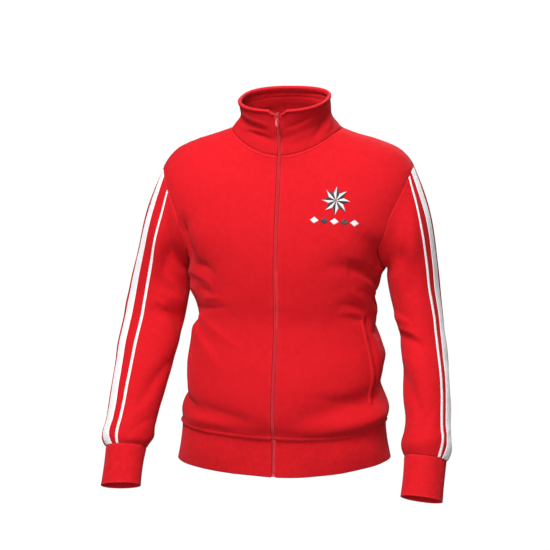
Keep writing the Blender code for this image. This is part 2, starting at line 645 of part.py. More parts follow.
def cuff_rings(side):
    """Rings of a cuff between its seam and its open end, drawn in a little at the middle."""
    seam, end = (LEFT_SLEEVE_RINGS if side > 0 else RIGHT_SLEEVE_RINGS)[-2:]
    rings = []
    for share in CUFF_SHARES:
        mixed = [a + (b - a) * share for a, b in zip(seam[1:], end[1:])]
        grip = 1 - (1 - CUFF_GRIP) * math.sin(math.pi * share) ** 0.5
        ring = SleeveRing("cuff", *mixed)
        rings.append(
            ring._replace(
                half_across=ring.half_across * grip, half_fore_aft=ring.half_fore_aft * grip
            )
        )
    return rings


def make_cuff(side, word, theta, material):
    outer, inner = [], []
    for ring in cuff_rings(side):
        outer.append(sleeve_ring_points(ring, theta, side))
        thin = ring._replace(
            half_across=ring.half_across - RIB, half_fore_aft=ring.half_fore_aft - RIB
        )
        inner.append(sleeve_ring_points(thin, theta, side))
    outer, inner = (
        draw_in(np.array(sheet), rows=(SEAM_GAP / 2, 0)) for sheet in (outer, inner)
    )
    wall(f"cuff_{word}", outer, inner, material, around=True)


def make_band(name, row, side, theta, sleeve_outer, direction, material):
    """A band made from the sleeve's own points, moved out, so that it follows every facet."""
    step = theta[1] - theta[0]
    half = row.width / 2 / ARM_RADIUS
    middle = math.radians(row.left_deg if side > 0 else row.right_deg)
    start, end = (middle - half) / step, (middle + half) / step
    inside = [k for k in range(math.ceil(start), math.floor(end) + 1) if start < k < end]
    places = [start, *inside, end]
    points, away = [], []
    for place in places:
        low = math.floor(place)
        share = place - low
        a, b = low % len(theta), (low + 1) % len(theta)
        points.append(sleeve_outer[:, a] * (1 - share) + sleeve_outer[:, b] * share)
        away.append(unit(direction[:, a] * (1 - share) + direction[:, b] * share))
    points, away = np.stack(points, axis=1), np.stack(away, axis=1)
    near = (points + away * BAND_GAP)[1:]
    far = (points + away * (BAND_GAP + TAPE))[1:]
    wall(name, far, near, material)


# ---------------------------------------------------------------- pockets and zip


def read_between(values, place):
    """A straight reading of the values at a place that counts them."""
    low = min(int(math.floor(place)), len(values) - 2)
    share = place - low
    return values[low] * (1 - share) + values[low + 1] * share


def read_grid(sheet, rows, columns):
    return np.array([[read_between(read_between(sheet, r), c) for c in columns] for r in rows])


def make_pocket(side, word, grids, material):
    """The welt along the mouth of a pocket, lying on the front."""
    outer, inner = grids[side]
    levels, _ = body_levels()
    angle = math.radians(POCKET_ANGLE_DEG)
    heights = torso_form(np.full(levels.shape, angle), levels)[:, 2]
    first, last = np.interp((POCKET_BOTTOM_Z, POCKET_TOP_Z), heights, np.arange(len(levels)))
    rows = [first, *range(math.ceil(first), math.floor(last) + 1), last]
    middle_row = round((first + last) / 2)
    across = np.abs(outer[middle_row, :, 0])
    at_pocket = torso_form(angle, levels[middle_row])[0]
    middle = np.interp(at_pocket, across, np.arange(len(across)))
    half = POCKET_WELT_WIDTH / 2 / np.linalg.norm(np.diff(outer[middle_row], axis=0), axis=1).mean()
    start, end = middle - half, middle + half
    columns = [start, *range(math.ceil(start), math.floor(end) + 1), end]
    points = read_grid(outer, rows, columns)
    away = unit(points - read_grid(inner, rows, columns))
    near = points + away * BAND_GAP
    far = points + away * (BAND_GAP + POCKET_WELT_THICK)
    wall(f"pocket_welt_{word}", far, near, material)


def zip_tape(name, sheets, first, second, material):
    """A woven tape under a front edge. sheets are the (outer, inner) walls it runs behind, and
    first and second are the columns at the edge and next to it."""
    outer = np.concatenate([o[:-1] if o is not sheets[-1][0] else o for o, _ in sheets])
    inner = np.concatenate([i[:-1] if i is not sheets[-1][1] else i for _, i in sheets])
    back = unit(inner - outer)
    near = inner + back * TAPE_DEPTH
    edge, beside = near[:, first], near[:, second]
    run = unit(beside - edge)
    columns = np.stack([edge - run * TAPE_SHOWING, edge + run * TAPE_REACH], axis=1)
    behind = columns + np.stack([back[:, first]] * 2, axis=1) * TAPE
    wall(name, columns, behind, material)


def centre_line(surface, levels):
    """Points, outward directions and upward directions on the middle of the front."""
    levels = np.asarray(levels, float)
    zero = np.zeros(levels.shape)
    points = surface(zero, levels)
    up = unit(surface(zero, levels + 0.01) - surface(zero, levels - 0.01))
    outward = np.stack([zero, -up[:, 2], up[:, 1]], axis=1)
    return points, outward, up


def slider_place():
    """The middle of the slider on the cloth's face, with the outward and upward directions."""
    levels = np.linspace(0, len(COLLAR_RINGS) - 1, 401)
    points, outward, up = centre_line(collar, levels)
    height = COLLAR_RINGS[-1].front_z - V_DEPTH - SLIDER_BELOW_V
    at = int(np.argmin(np.abs(points[:, 2] - height)))
    return points[at], outward[at], up[at]


def make_chain(material):
    """The closed chain, as one strip from the stop at the hem up to the slider."""
    body, out_body, _ = centre_line(torso, np.concatenate([HEM_ROWS[:-1], body_levels()[0]]))
    neck, out_neck, _ = centre_line(collar, COLLAR_ROWS[1:])
    points, outward = np.concatenate([body, neck]), np.concatenate([out_body, out_neck])
    low = points[0][2] + STOP_SIZE[2] + SEAM_GAP
    high = slider_place()[0][2] - SLIDER_SIZE[2] / 2 - SEAM_GAP
    heights = points[:, 2]
    inside = (heights > low + SHORTEST_LINK) & (heights < high - SHORTEST_LINK)
    rows = np.concatenate([[low], heights[inside], [high]])
    line, away = (
        np.stack([np.interp(rows, heights, values[:, k]) for k in range(3)], axis=1)
        for values in (points, outward)
    )
    across = np.array([-CHAIN_WIDTH / 2, CHAIN_WIDTH / 2])[None, :, None] * np.array([1.0, 0, 0])
    front = (line - away * CHAIN_DEPTH)[:, None] + across
    back = (line - away * (CHAIN_DEPTH + CHAIN_THICK))[:, None] + across
    wall("zip_chain", front, back, material)


def box(name, middle, size, up, material, rounding):
    """A box with rounded edges, turned about X so that its height follows up."""
    bpy.ops.mesh.primitive_cube_add(size=1)
    thing = bpy.context.active_object
    thing.name = name
    thing.data.transform(Matrix.Diagonal((*size, 1)))
    thing.location = middle
    thing.rotation_euler = (math.atan2(-up[1], up[2]), 0, 0)
    bevel = thing.modifiers.new("rounded_edges", "BEVEL")
    bevel.width = rounding
    bevel.segments = 2
    thing.data.materials.append(material)
    place_in_part(thing)
    return thing


def place_in_part(thing):
    for collection in thing.users_collection:
        collection.objects.unlink(thing)
    PART.objects.link(thing)


def bridge_side(middle, outward, up, inset, samples=9):
    """One face of the slider's bridge: an arch over the tab's bar, at an inset from its outside."""
    turn = np.linspace(0, math.pi, samples)
    cosine, sine = np.cos(turn), np.sin(turn)
    rise = (BRIDGE_HALF_HEIGHT - inset) * np.sign(cosine) * np.abs(cosine) ** ARCH_SQUARENESS
    reach = (BRIDGE_REACH - inset) * sine**ARCH_SQUARENESS
    rise = np.concatenate([rise[:1], rise, rise[-1:]])
    reach = np.concatenate([[-SLIDER_SIZE[1] / 3], reach, [-SLIDER_SIZE[1] / 3]])
    line = middle + up * rise[:, None] + outward * reach[:, None]
    across = np.array([BRIDGE_WIDTH / 2, -BRIDGE_WIDTH / 2])[None, :, None] * np.array([1.0, 0, 0])
    return line[:, None] + across


def make_slider(material):
    """The slider's body, joined with the bridge that holds the pull tab."""
    middle, outward, up = slider_place()
    middle = middle - outward * SLIDER_DEPTH
    slider = box("zip_slider", middle, SLIDER_SIZE, up, material, SLIDER_ROUNDING)
    face = middle + outward * SLIDER_SIZE[1] / 2
    outside = bridge_side(face, outward, up, 0)
    bridge = wall("slider_bridge", outside, bridge_side(face, outward, up, BRIDGE_STOCK), material)
    PART.objects.unlink(bridge)
    HELPERS.objects.link(bridge)
    bridge.hide_render = True
    bridge.display_type = "WIRE"
    join = slider.modifiers.new("bridge", "BOOLEAN")
    join.operation = "UNION"
    join.solver = "EXACT"
    join.object = bridge


def tab_outline():
    """The pull tab's edge, from its axis down: narrow at the eye, wider at the rounded foot."""
    eye, foot = (width / 2 for width in TAB_WIDTHS)
    top = TAB_BAR / 2
    shoulder = -TAB_WINDOW[1] - TAB_BAR
    corner = foot * 0.75
    low = -TAB_LENGTH + corner
    left = [(-eye * 0.8, top), (-eye, top - eye * 0.2), (-eye, shoulder), (-foot, low)]
    turn = np.linspace(math.pi, 2 * math.pi, 9)[1:-1]
    bottom = [(foot * math.cos(a), low + corner * math.sin(a)) for a in turn]
    return left + bottom + [(-x, z) for x, z in reversed(left)]


def make_pull_tab(material):
    """The pull tab: a flat plate whose origin is on the axis of the bar that turns in the slider's
    bridge. It hangs straight down."""
    middle, outward, _ = slider_place()
    axis = middle + outward * (SLIDER_SIZE[1] / 2 - SLIDER_DEPTH + TAB_AXIS_REACH)
    half = TAB_WINDOW[0] / 2
    top, low = -TAB_BAR / 2, -TAB_BAR / 2 - TAB_WINDOW[1]
    window = [(-half, top), (half, top), (half, low), (-half, low)]
    curve = bpy.data.curves.new("zip_pull_tab", "CURVE")
    curve.dimensions = "2D"
    curve.fill_mode = "BOTH"
    curve.extrude = TAB_THICK / 2
    for outline in (tab_outline(), window):
        spline = curve.splines.new("POLY")
        spline.points.add(len(outline) - 1)
        for point, (x, z) in zip(spline.points, outline):
            point.co = (x, z, 0, 1)
        spline.use_cyclic_u = True
    curve.materials.append(material)
    tab = bpy.data.objects.new("zip_pull_tab", curve)
    tab.location = axis
    tab.rotation_euler = (math.pi / 2, 0, 0)
    PART.objects.link(tab)


def make_zip(hem, fronts, neck, woven, metal, tab):
    """The tapes, the chain, the box at its foot, the slider and the pull tab."""
    for side, word in ((1, "left"), (-1, "right")):
        front = fronts[side]
        first, second = (0, 1) if side > 0 else (-1, -2)
        round_body = [tuple(sheet[:, [first, second]] for sheet in part) for part in (hem, neck)]
        flat_front = tuple(sheet[:, [0, 1]] for sheet in front)
        zip_tape(f"zip_tape_{word}", [round_body[0], flat_front, round_body[1]], 0, 1, woven)
    make_chain(metal)
    points, outward, up = centre_line(torso, [0.0])
    foot = points[0] + up[0] * STOP_SIZE[2] / 2 - outward[0] * (CHAIN_DEPTH + CHAIN_THICK / 2)
    box("zip_foot", foot, STOP_SIZE, up[0], metal, STOP_ROUNDING)
    make_slider(metal)
    make_pull_tab(tab)


# ---------------------------------------------------------------- the track top


def clear_scene():
    for thing in list(bpy.data.objects):
        bpy.data.objects.remove(thing, do_unlink=True)


def collection(name):
    made = bpy.data.collections.new(name)
    bpy.context.scene.collection.children.link(made)
    return made


clear_scene()
PART = collection("track_top")
HELPERS = collection("helpers")


def make_track_top():
    cloth = material_of("red_fleece", CLOTH_RED, 0.88)
    rib = material_of("red_rib", CLOTH_RED, 0.92)
    white = material_of("white_tape", BAND_WHITE, 0.75)
    woven = material_of("zip_tape_red", ZIP_RED, 0.80)
    teeth = material_of("zip_red", ZIP_RED, 0.45)
    lacquer = material_of("tab_red", TAB_RED, 0.35, 0.2)
    fronts = make_body(cloth)
    hem = make_hem_band(rib)
    neck = make_collar(cloth)
    for side, word in ((1, "left"), (-1, "right")):
        make_sleeve(side, word, cloth, rib, white)
        make_pocket(side, word, fronts, cloth)
    make_zip(hem, fronts, neck, woven, teeth, lacquer)


make_track_top()
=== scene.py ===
"""A red zip-up track top, filled out as if worn, with nobody inside.

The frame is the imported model's: +Z up, -Y the front, +X the wearer's left, in metres, with the
origin in the middle of the neck, level with the shoulder seams.
"""

import math
from collections import namedtuple

import bmesh
import bpy
import numpy as np
from mathutils import Matrix, Vector
from mathutils.bvhtree import BVHTree


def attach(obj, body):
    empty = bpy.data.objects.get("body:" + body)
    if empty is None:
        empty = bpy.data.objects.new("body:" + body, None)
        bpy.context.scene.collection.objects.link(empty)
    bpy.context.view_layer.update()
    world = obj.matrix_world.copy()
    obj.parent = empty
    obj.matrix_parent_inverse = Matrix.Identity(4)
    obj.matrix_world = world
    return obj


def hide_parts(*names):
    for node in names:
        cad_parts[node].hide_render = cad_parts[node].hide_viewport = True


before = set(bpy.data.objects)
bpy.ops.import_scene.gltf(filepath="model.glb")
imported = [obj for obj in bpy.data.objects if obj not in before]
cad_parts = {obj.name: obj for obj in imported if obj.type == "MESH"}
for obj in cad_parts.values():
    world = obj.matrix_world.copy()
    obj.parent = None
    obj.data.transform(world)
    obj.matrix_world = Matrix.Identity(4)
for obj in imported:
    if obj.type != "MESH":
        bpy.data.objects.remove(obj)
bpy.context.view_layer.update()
scene = bpy.context.scene
for start_object in ("Cube", "Light", "Camera"):
    if start_object in bpy.data.objects:
        bpy.data.objects.remove(bpy.data.objects[start_object], do_unlink=True)

# ---------------------------------------------------------------- camera and studio
# The camera stands a little to the wearer's left of the zip and a little above the chest.
# The garment hangs free over a pale floor, under a broad soft light from above the front.

CAMERA_AZIMUTH, CAMERA_ELEVATION = math.radians(10.5), math.radians(9.5)
CAMERA_DISTANCE, CAMERA_LENS, CAMERA_SENSOR = 2.3, 75.0, 36.0
CAMERA_AIM_ACROSS, CAMERA_AIM_HEIGHT = -0.024, -0.294
FLOOR_HALF, FLOOR_LEVEL, FLOOR_GREY = 30.0, -1.02, (0.22, 0.22, 0.22, 1)
WHITE, WHITE_SEEN, SKY_STRENGTH = (1, 1, 1, 1), 1.02, 0.13  # the camera sees more light than the cloth gets
StudioLight = namedtuple("StudioLight", "name place target size power")
STUDIO_LIGHTS = [
    StudioLight("key_light", (-0.25, -1.60, 1.85), (0, 0, -0.22), 0.9, 80),
    StudioLight("front_light", (0.25, -3.0, 0.25), (0, 0, -0.35), 1.2, 30),
    StudioLight("back_light", (0.7, 2.1, 1.4), (0, 0, -0.25), 1.6, 40),
]


def put_in_scene(name, data):
    """A new object for the data, in the scene."""
    thing = bpy.data.objects.new(name, data)
    scene.collection.objects.link(thing)
    return thing


back_vector = Vector(
    (
        math.sin(CAMERA_AZIMUTH) * math.cos(CAMERA_ELEVATION),
        -math.cos(CAMERA_AZIMUTH) * math.cos(CAMERA_ELEVATION),
        math.sin(CAMERA_ELEVATION),
    )
)
aim = Vector((math.cos(CAMERA_AZIMUTH), math.sin(CAMERA_AZIMUTH), 0)) * CAMERA_AIM_ACROSS
aim.z += CAMERA_AIM_HEIGHT
camera_data = bpy.data.cameras.new("camera")
camera_data.lens, camera_data.sensor_width = CAMERA_LENS, CAMERA_SENSOR
camera = put_in_scene("camera", camera_data)
camera.location = aim + back_vector * CAMERA_DISTANCE
camera.rotation_euler = back_vector.to_track_quat("Z", "Y").to_euler()
scene.camera = camera
scene.view_settings.view_transform = "Standard"


def node(tree, kind, inputs=(), **settings):
    """A shader or geometry node with its settings, and its inputs given as values or links."""
    made = tree.nodes.new(kind)
    for name, value in settings.items():
        setattr(made, name, value)
    for name, value in dict(inputs).items():
        if isinstance(value, bpy.types.NodeSocket):
            tree.links.new(value, made.inputs[name])
        else:
            made.inputs[name].default_value = value
    return made


def seen_by_camera(tree):
    """Empties a tree, and gives 1 where the camera looks and 0 for all other light."""
    tree.nodes.clear()
    return node(tree, "ShaderNodeLightPath").outputs["Is Camera Ray"]


def plain_floor():
    """The floor: a wide square that the camera sees almost white."""
    data = bpy.data.meshes.new("floor")
    square = ((-1, -1), (1, -1), (1, 1), (-1, 1))
    data.from_pydata([(x * FLOOR_HALF, y * FLOOR_HALF, FLOOR_LEVEL) for x, y in square], [], [(0, 1, 2, 3)])
    pale = bpy.data.materials.new("pale_floor")
    pale.use_nodes = True
    tree = pale.node_tree
    seen = seen_by_camera(tree)
    matt = node(tree, "ShaderNodeBsdfDiffuse", {"Color": FLOOR_GREY})
    glow = node(tree, "ShaderNodeEmission", {"Color": WHITE, "Strength": WHITE_SEEN})
    mixed = node(tree, "ShaderNodeMixShader", {0: seen, 1: matt.outputs[0], 2: glow.outputs[0]})
    node(tree, "ShaderNodeOutputMaterial", {"Surface": mixed.outputs[0]})
    data.materials.append(pale)
    put_in_scene("floor", data)


def white_surround():
    """The surround: a dim even light that the camera sees as white."""
    world = bpy.data.worlds.new("studio")
    scene.world = world
    world.use_nodes = True
    tree = world.node_tree
    seen = seen_by_camera(tree)
    brighter = {"Value": seen, "To Min": SKY_STRENGTH, "To Max": WHITE_SEEN}
    strength = node(tree, "ShaderNodeMapRange", brighter)
    sky = node(tree, "ShaderNodeBackground", {"Color": WHITE, "Strength": strength.outputs[0]})
    node(tree, "ShaderNodeOutputWorld", {"Surface": sky.outputs[0]})


plain_floor()
white_surround()
for light in STUDIO_LIGHTS:
    lamp_data = bpy.data.lights.new(light.name, "AREA")
    lamp_data.shape, lamp_data.size, lamp_data.energy = "DISK", light.size, light.power
    lamp = put_in_scene(light.name, lamp_data)
    lamp.location = light.place
    lamp.rotation_euler = (Vector(light.place) - Vector(light.target)).to_track_quat("Z", "Y").to_euler()

# ---------------------------------------------------------------- the body's form
# The cut and the drape of the body, as rings from the hem up to the collar seam, and the armholes
# cut into it. Everything sewn to the body reads its place from this form.

TorsoRing = namedtuple(
    "TorsoRing",
    "name left_z right_z half_width centre_y front_depth back_depth front_z back_z squareness rise",
    defaults=(2.0,),
)
TORSO_RINGS = [
    TorsoRing("hem_edge", -0.646, -0.668, 0.2173, -0.0465, 0.105, 0.106, -0.665, -0.660, 1.88),
    TorsoRing("hem_middle", -0.611, -0.628, 0.2090, -0.043, 0.105, 0.106, -0.630, -0.620, 2.30),
    TorsoRing("hem_seam", -0.573, -0.588, 0.2060, -0.040, 0.108, 0.107, -0.591, -0.580, 2.30),
    TorsoRing("blouse", -0.552, -0.564, 0.2090, -0.037, 0.121, 0.117, -0.566, -0.556, 2.35),
    TorsoRing("hip", -0.507, -0.515, 0.2000, -0.030, 0.127, 0.119, -0.517, -0.510, 2.35),
    TorsoRing("belly", -0.456, -0.460, 0.1985, -0.021, 0.125, 0.114, -0.462, -0.458, 2.35),
    TorsoRing("low_waist", -0.408, -0.408, 0.1900, -0.011, 0.121, 0.108, -0.410, -0.407, 2.35),
    TorsoRing("waist", -0.360, -0.360, 0.1800, -0.004, 0.119, 0.105, -0.362, -0.360, 2.35),
    TorsoRing("ribs", -0.310, -0.310, 0.1860, 0.000, 0.124, 0.112, -0.314, -0.312, 2.40),
    TorsoRing("underarm", -0.260, -0.260, 0.1960, 0.000, 0.129, 0.120, -0.268, -0.262, 2.45),
    TorsoRing("mid_armhole", -0.168, -0.168, 0.2440, 0.002, 0.126, 0.123, -0.196, -0.168, 2.45),
    TorsoRing("shoulder_tip", -0.072, -0.074, 0.2485, 0.004, 0.114, 0.114, -0.134, -0.098, 2.35),
    TorsoRing("shoulder_round", -0.044, -0.046, 0.2265, 0.004, 0.107, 0.107, -0.108, -0.068, 2.25),
    TorsoRing("shoulder_middle", -0.022, -0.023, 0.1800, 0.002, 0.098, 0.098, -0.084, -0.037, 2.15),
    TorsoRing("shoulder_inner", -0.010, -0.010, 0.1380, 0.000, 0.092, 0.087, -0.065, -0.012, 2.05),
    TorsoRing("collar_seam", 0.000, 0.000, 0.1085, -0.004, 0.086, 0.075, -0.050, 0.019, 2.00),
]
LEVEL = {ring.name: float(i) for i, ring in enumerate(TORSO_RINGS)}
TURN = 2 * math.pi
GIRTH_RADIUS = 0.17  # metres of cloth for each radian round the body, used by the folds
ARMHOLE_FRONT_DEG, ARMHOLE_BACK_DEG, ARMHOLE_CROWDING = 36.0, 40.0, 0.50


def along_keys(keys, level, knots):
    """A smooth curve through the keys, which lie at the distances knots. level counts the keys, and
    each key is a number or a line of points."""
    last = len(keys) - 1
    level = np.clip(level, 0, last)
    i = np.minimum(level.astype(int), last - 1)

    def key(index):
        return keys[np.clip(index, 0, last)]

    def for_keys(numbers):
        return numbers.reshape(numbers.shape + (1,) * (keys.ndim - 1))

    steps = np.diff(knots)
    here, before, after = (for_keys(steps[np.clip(i + shift, 0, last - 1)]) for shift in (0, -1, 1))
    f = for_keys(level - i)
    slope = (key(i + 1) - key(i)) / here
    slope_before = np.where(for_keys(i == 0), slope, (key(i) - key(i - 1)) / before)
    slope_after = np.where(for_keys(i == last - 1), slope, (key(i + 2) - key(i + 1)) / after)
    start = (here * slope_before + before * slope) / (here + before)
    end = (here * slope_after + after * slope) / (here + after)
    curve = key(i) + (key(i + 1) - key(i)) * f * f * (3 - 2 * f)
    return curve + here * (start * f * (1 - f) ** 2 - end * f * f * (1 - f))


def unit(v):
    return v / np.maximum(np.linalg.norm(v, axis=-1, keepdims=True), 1e-12)


def smooth_step(t):
    t = np.clip(t, 0, 1)
    return t * t * (3 - 2 * t)


def bell(t):
    return np.exp(-(t**2))


def fuller(wave, power):
    """A sine or cosine made squarer, by a power of its size."""
    return np.sign(wave) * np.abs(wave) ** power


def ring_surface(rings, phi, level):
    """Points on the form that the rings describe, at the angle phi and the ring position level."""
    phi, level = np.broadcast_arrays(np.asarray(phi, float), np.asarray(level, float))
    heights = [(r.left_z + r.right_z + r.front_z + r.back_z) / 4 for r in rings]
    widths = [r.half_width for r in rings]
    knots = np.concatenate([[0], np.cumsum(np.hypot(np.diff(heights), np.diff(widths)))])
    column = {
        name: along_keys(np.array([getattr(r, name) for r in rings]), level, knots)
        for name in TorsoRing._fields[1:]
    }
    power = 2 / column["squareness"]
    side_z = np.where(np.sin(phi) > 0, column["left_z"], column["right_z"])
    across, ahead = fuller(np.sin(phi), power), fuller(np.cos(phi), power)
    depth = np.where(ahead > 0, column["front_depth"], column["back_depth"])
    middle_z = np.where(ahead > 0, column["front_z"], column["back_z"])
    x = column["half_width"] * across
    y = column["centre_y"] - depth * ahead
    z = side_z + (middle_z - side_z) * np.abs(ahead) ** column["rise"]
    return np.stack([x, y, z], axis=-1)


NORMAL_STEP = 2e-3  # to either side of a place, in radians or in levels


def normals_of(surface, u, v):
    """Outward directions of a surface that is a function of two positions."""
    along_u = surface(u + NORMAL_STEP, v) - surface(u - NORMAL_STEP, v)
    along_v = surface(u, v + NORMAL_STEP) - surface(u, v - NORMAL_STEP)
    return unit(np.cross(along_u, along_v))


def torso_form(phi, level):
    return ring_surface(TORSO_RINGS, phi, level)


def armhole_angle(theta, side):
    """(phi, level) of the armhole's edge at theta: 0 at the shoulder tip, a quarter turn at the
    front and a half turn at the underarm. side is 1 for the wearer's left and -1 for the right."""
    crowded = theta - ARMHOLE_CROWDING * np.sin(theta)
    low, high = LEVEL["underarm"], LEVEL["shoulder_tip"]
    opening = np.where(np.sin(theta) >= 0, ARMHOLE_FRONT_DEG, -ARMHOLE_BACK_DEG)
    from_side = np.radians(opening) * np.abs(np.sin(crowded))
    return side * (math.pi / 2 - from_side), low + (high - low) * (1 + np.cos(crowded)) / 2


# Folds of the body: from one end to the other in degrees round the body (0 at the zip, positive
# to the wearer's left) and height. crest is 2 for a soft fold and near 1 for a sharp one.
Fold = namedtuple("Fold", "from_deg from_z to_deg to_z sag width height crest", defaults=(2.0,))
TORSO_FOLDS = [
    # under the wearer's right arm
    Fold(-46, -0.176, -60, -0.248, 0.002, 0.012, -0.0125, 1.7),
    Fold(-49, -0.196, -59, -0.244, 0.001, 0.0060, -0.0060, 1.5),
    Fold(-58, -0.278, -108, -0.300, -0.002, 0.014, 0.0075, 1.8),
    Fold(-30, -0.172, -50, -0.262, 0.004, 0.012, 0.0036, 1.8),
    Fold(-54, -0.262, -36, -0.274, 0.003, 0.010, -0.0042, 1.6),
    Fold(-60, -0.284, -40, -0.296, 0.003, 0.008, 0.0030, 1.6),
    Fold(-54, -0.312, -39, -0.320, 0.002, 0.0080, -0.0040, 1.5),
    Fold(-50, -0.330, -33, -0.324, 0.002, 0.0055, 0.0026, 1.5),
    Fold(-106, -0.340, -62, -0.312, 0.004, 0.020, 0.0095, 1.8),
    Fold(-108, -0.386, -66, -0.374, 0.002, 0.014, -0.0085, 1.6),
    Fold(-72, -0.354, -30, -0.341, -0.004, 0.0070, -0.0036, 1.4),
    Fold(-84, -0.398, -34, -0.440, 0.012, 0.020, 0.0055, 1.7),
    Fold(-72, -0.368, -20, -0.416, 0.010, 0.0095, 0.0032, 1.4),
    Fold(-60, -0.394, -26, -0.450, 0.008, 0.012, -0.0026, 1.6),
    # under the wearer's left arm
    Fold(38, -0.200, 74, -0.252, 0.000, 0.015, -0.0085, 1.7),
    Fold(74, -0.272, 112, -0.276, 0.000, 0.009, 0.0056, 1.8),
    Fold(34, -0.234, 78, -0.278, 0.000, 0.0090, 0.0030, 1.5),
    Fold(30, -0.254, 88, -0.308, 0.006, 0.017, -0.0090, 1.7),
    Fold(20, -0.196, 40, -0.276, 0.010, 0.011, 0.0026, 1.5),
    Fold(46, -0.276, 96, -0.360, 0.010, 0.0070, 0.0052, 1.3),
    Fold(54, -0.306, 100, -0.372, 0.010, 0.0085, -0.0036, 1.4),
    Fold(40, -0.304, 70, -0.356, 0.006, 0.0075, 0.0024, 1.5),
    Fold(36, -0.330, 64, -0.352, 0.004, 0.0070, -0.0028, 1.3),
    Fold(38, -0.346, 66, -0.362, 0.003, 0.0065, 0.0024, 1.4),
    Fold(42, -0.356, 64, -0.376, 0.002, 0.0070, -0.0030, 1.4),
    Fold(104, -0.330, 78, -0.324, 0.002, 0.012, -0.0065, 1.7),
    Fold(104, -0.362, 76, -0.354, 0.002, 0.011, 0.0040, 1.7),
    Fold(106, -0.392, 74, -0.394, 0.002, 0.013, -0.0090, 1.6),
    Fold(92, -0.420, 88, -0.490, 0.000, 0.024, -0.0045),
    Fold(106, -0.444, 76, -0.440, 0.004, 0.018, 0.0060),
    Fold(108, -0.500, 74, -0.496, 0.003, 0.016, -0.0060, 1.7),
    # the soft swell of the fronts at the waist
    Fold(-70, -0.318, 70, -0.318, 0.000, 0.052, 0.0055, 2.0),
    # fullness above the hem
    Fold(-100, -0.520, -54, -0.545, 0.004, 0.017, -0.0075, 1.7),
    Fold(-74, -0.532, -46, -0.542, 0.002, 0.0080, -0.0034, 1.4),
    Fold(-72, -0.556, -8, -0.560, 0.006, 0.022, -0.0080),
    Fold(-58, -0.568, -20, -0.570, 0.003, 0.012, 0.0040, 1.8),
    Fold(-46, -0.536, -10, -0.556, 0.004, 0.011, -0.0026, 1.6),
    Fold(8, -0.552, 76, -0.515, 0.010, 0.022, -0.0110),
    Fold(18, -0.506, 60, -0.530, 0.003, 0.012, -0.0034, 1.6),
    Fold(18, -0.578, 96, -0.552, 0.004, 0.018, 0.0050),
    Fold(30, -0.560, 84, -0.550, 0.003, 0.012, 0.0032, 1.7),
    # the back, which the photograph doesn't show
    Fold(104, -0.230, 150, -0.300, 0.012, 0.024, -0.0090, 1.7),
    Fold(112, -0.216, 158, -0.284, 0.010, 0.011, 0.0030, 1.6),
    Fold(-104, -0.225, -146, -0.310, -0.014, 0.024, -0.0090, 1.7),
    Fold(-110, -0.262, -150, -0.332, -0.010, 0.011, 0.0030, 1.6),
    Fold(120, -0.372, 174, -0.352, -0.006, 0.020, -0.0075, 1.7),
    Fold(116, -0.356, 160, -0.338, -0.005, 0.010, 0.0032, 1.5),
    Fold(-118, -0.366, -170, -0.388, 0.006, 0.020, -0.0075, 1.7),
    Fold(-122, -0.392, -164, -0.410, 0.004, 0.011, 0.0034, 1.6),
    Fold(112, -0.536, 178, -0.548, 0.006, 0.022, -0.0100),
    Fold(-110, -0.540, -172, -0.536, 0.006, 0.022, -0.0100),
    Fold(128, -0.512, 166, -0.516, 0.004, 0.012, 0.0030, 1.7),
    Fold(-126, -0.562, -160, -0.560, 0.003, 0.012, 0.0034, 1.7),
]

FOLD_END = 0.35  # the share of its height that a fold keeps at its ends


def fold_height(folds, around, along, radius):
    """The sum of the folds at places given by an angle in radians and a distance."""
    total = np.zeros(np.broadcast(around, along).shape)
    for start_deg, start, end_deg, end, sag, width, height, crest in folds:
        a = np.array([math.radians(start_deg) * radius, start])
        run = np.array([math.radians(end_deg) * radius, end]) - a
        length = np.linalg.norm(run)
        side = np.array([-run[1], run[0]]) / length
        middle = math.radians((start_deg + end_deg) / 2)
        here = np.angle(np.exp(1j * (around - middle))) + middle
        p = np.stack(np.broadcast_arrays(here * radius, along), axis=-1) - a
        share = p @ run / length**2
        off = p @ side - 4 * sag * share * (1 - share)
        beyond = np.maximum(np.maximum(-share, share - 1), 0) * length
        taper = FOLD_END + (1 - FOLD_END) * np.sin(np.pi * np.clip(share, 0, 1)) ** 0.7
        shape = np.exp(-(np.abs(off / width) ** crest) - (beyond / width) ** 2)
        total = total + height * taper * shape
    return total


SWELL_ROWS = 97  # rows of swells before they repeat


def uneven(turn, along, cells, seed):
    """Smooth random heights from -1 to 1. turn counts whole turns and repeats after each, with
    cells swells in it, and along counts swells."""
    table = np.random.default_rng(seed).uniform(-1, 1, (cells, SWELL_ROWS))
    u, v = np.broadcast_arrays(np.asarray(turn, float) * cells, np.asarray(along, float))
    i, j = np.floor(u).astype(int), np.floor(v).astype(int)
    f, g = smooth_step(u - i), smooth_step(v - j)

    def at(di, dj):
        return table[(i + di) % cells, (j + dj) % SWELL_ROWS]

    low = at(0, 0) * (1 - f) + at(1, 0) * f
    return low * (1 - g) + (at(0, 1) * (1 - f) + at(1, 1) * f) * g


Swells = namedtuple("Swells", "height length cells seed")
BODY_SWELLS = [Swells(0.0016, 0.085, 13, 3), Swells(0.0007, 0.034, 34, 4)]


def swelling(rows, turn, along, shift=0):
    """The sum of some rows of swells. shift gives a like piece its own random draws."""
    return sum(s.height * uneven(turn, along / s.length, s.cells, s.seed + shift) for s in rows)


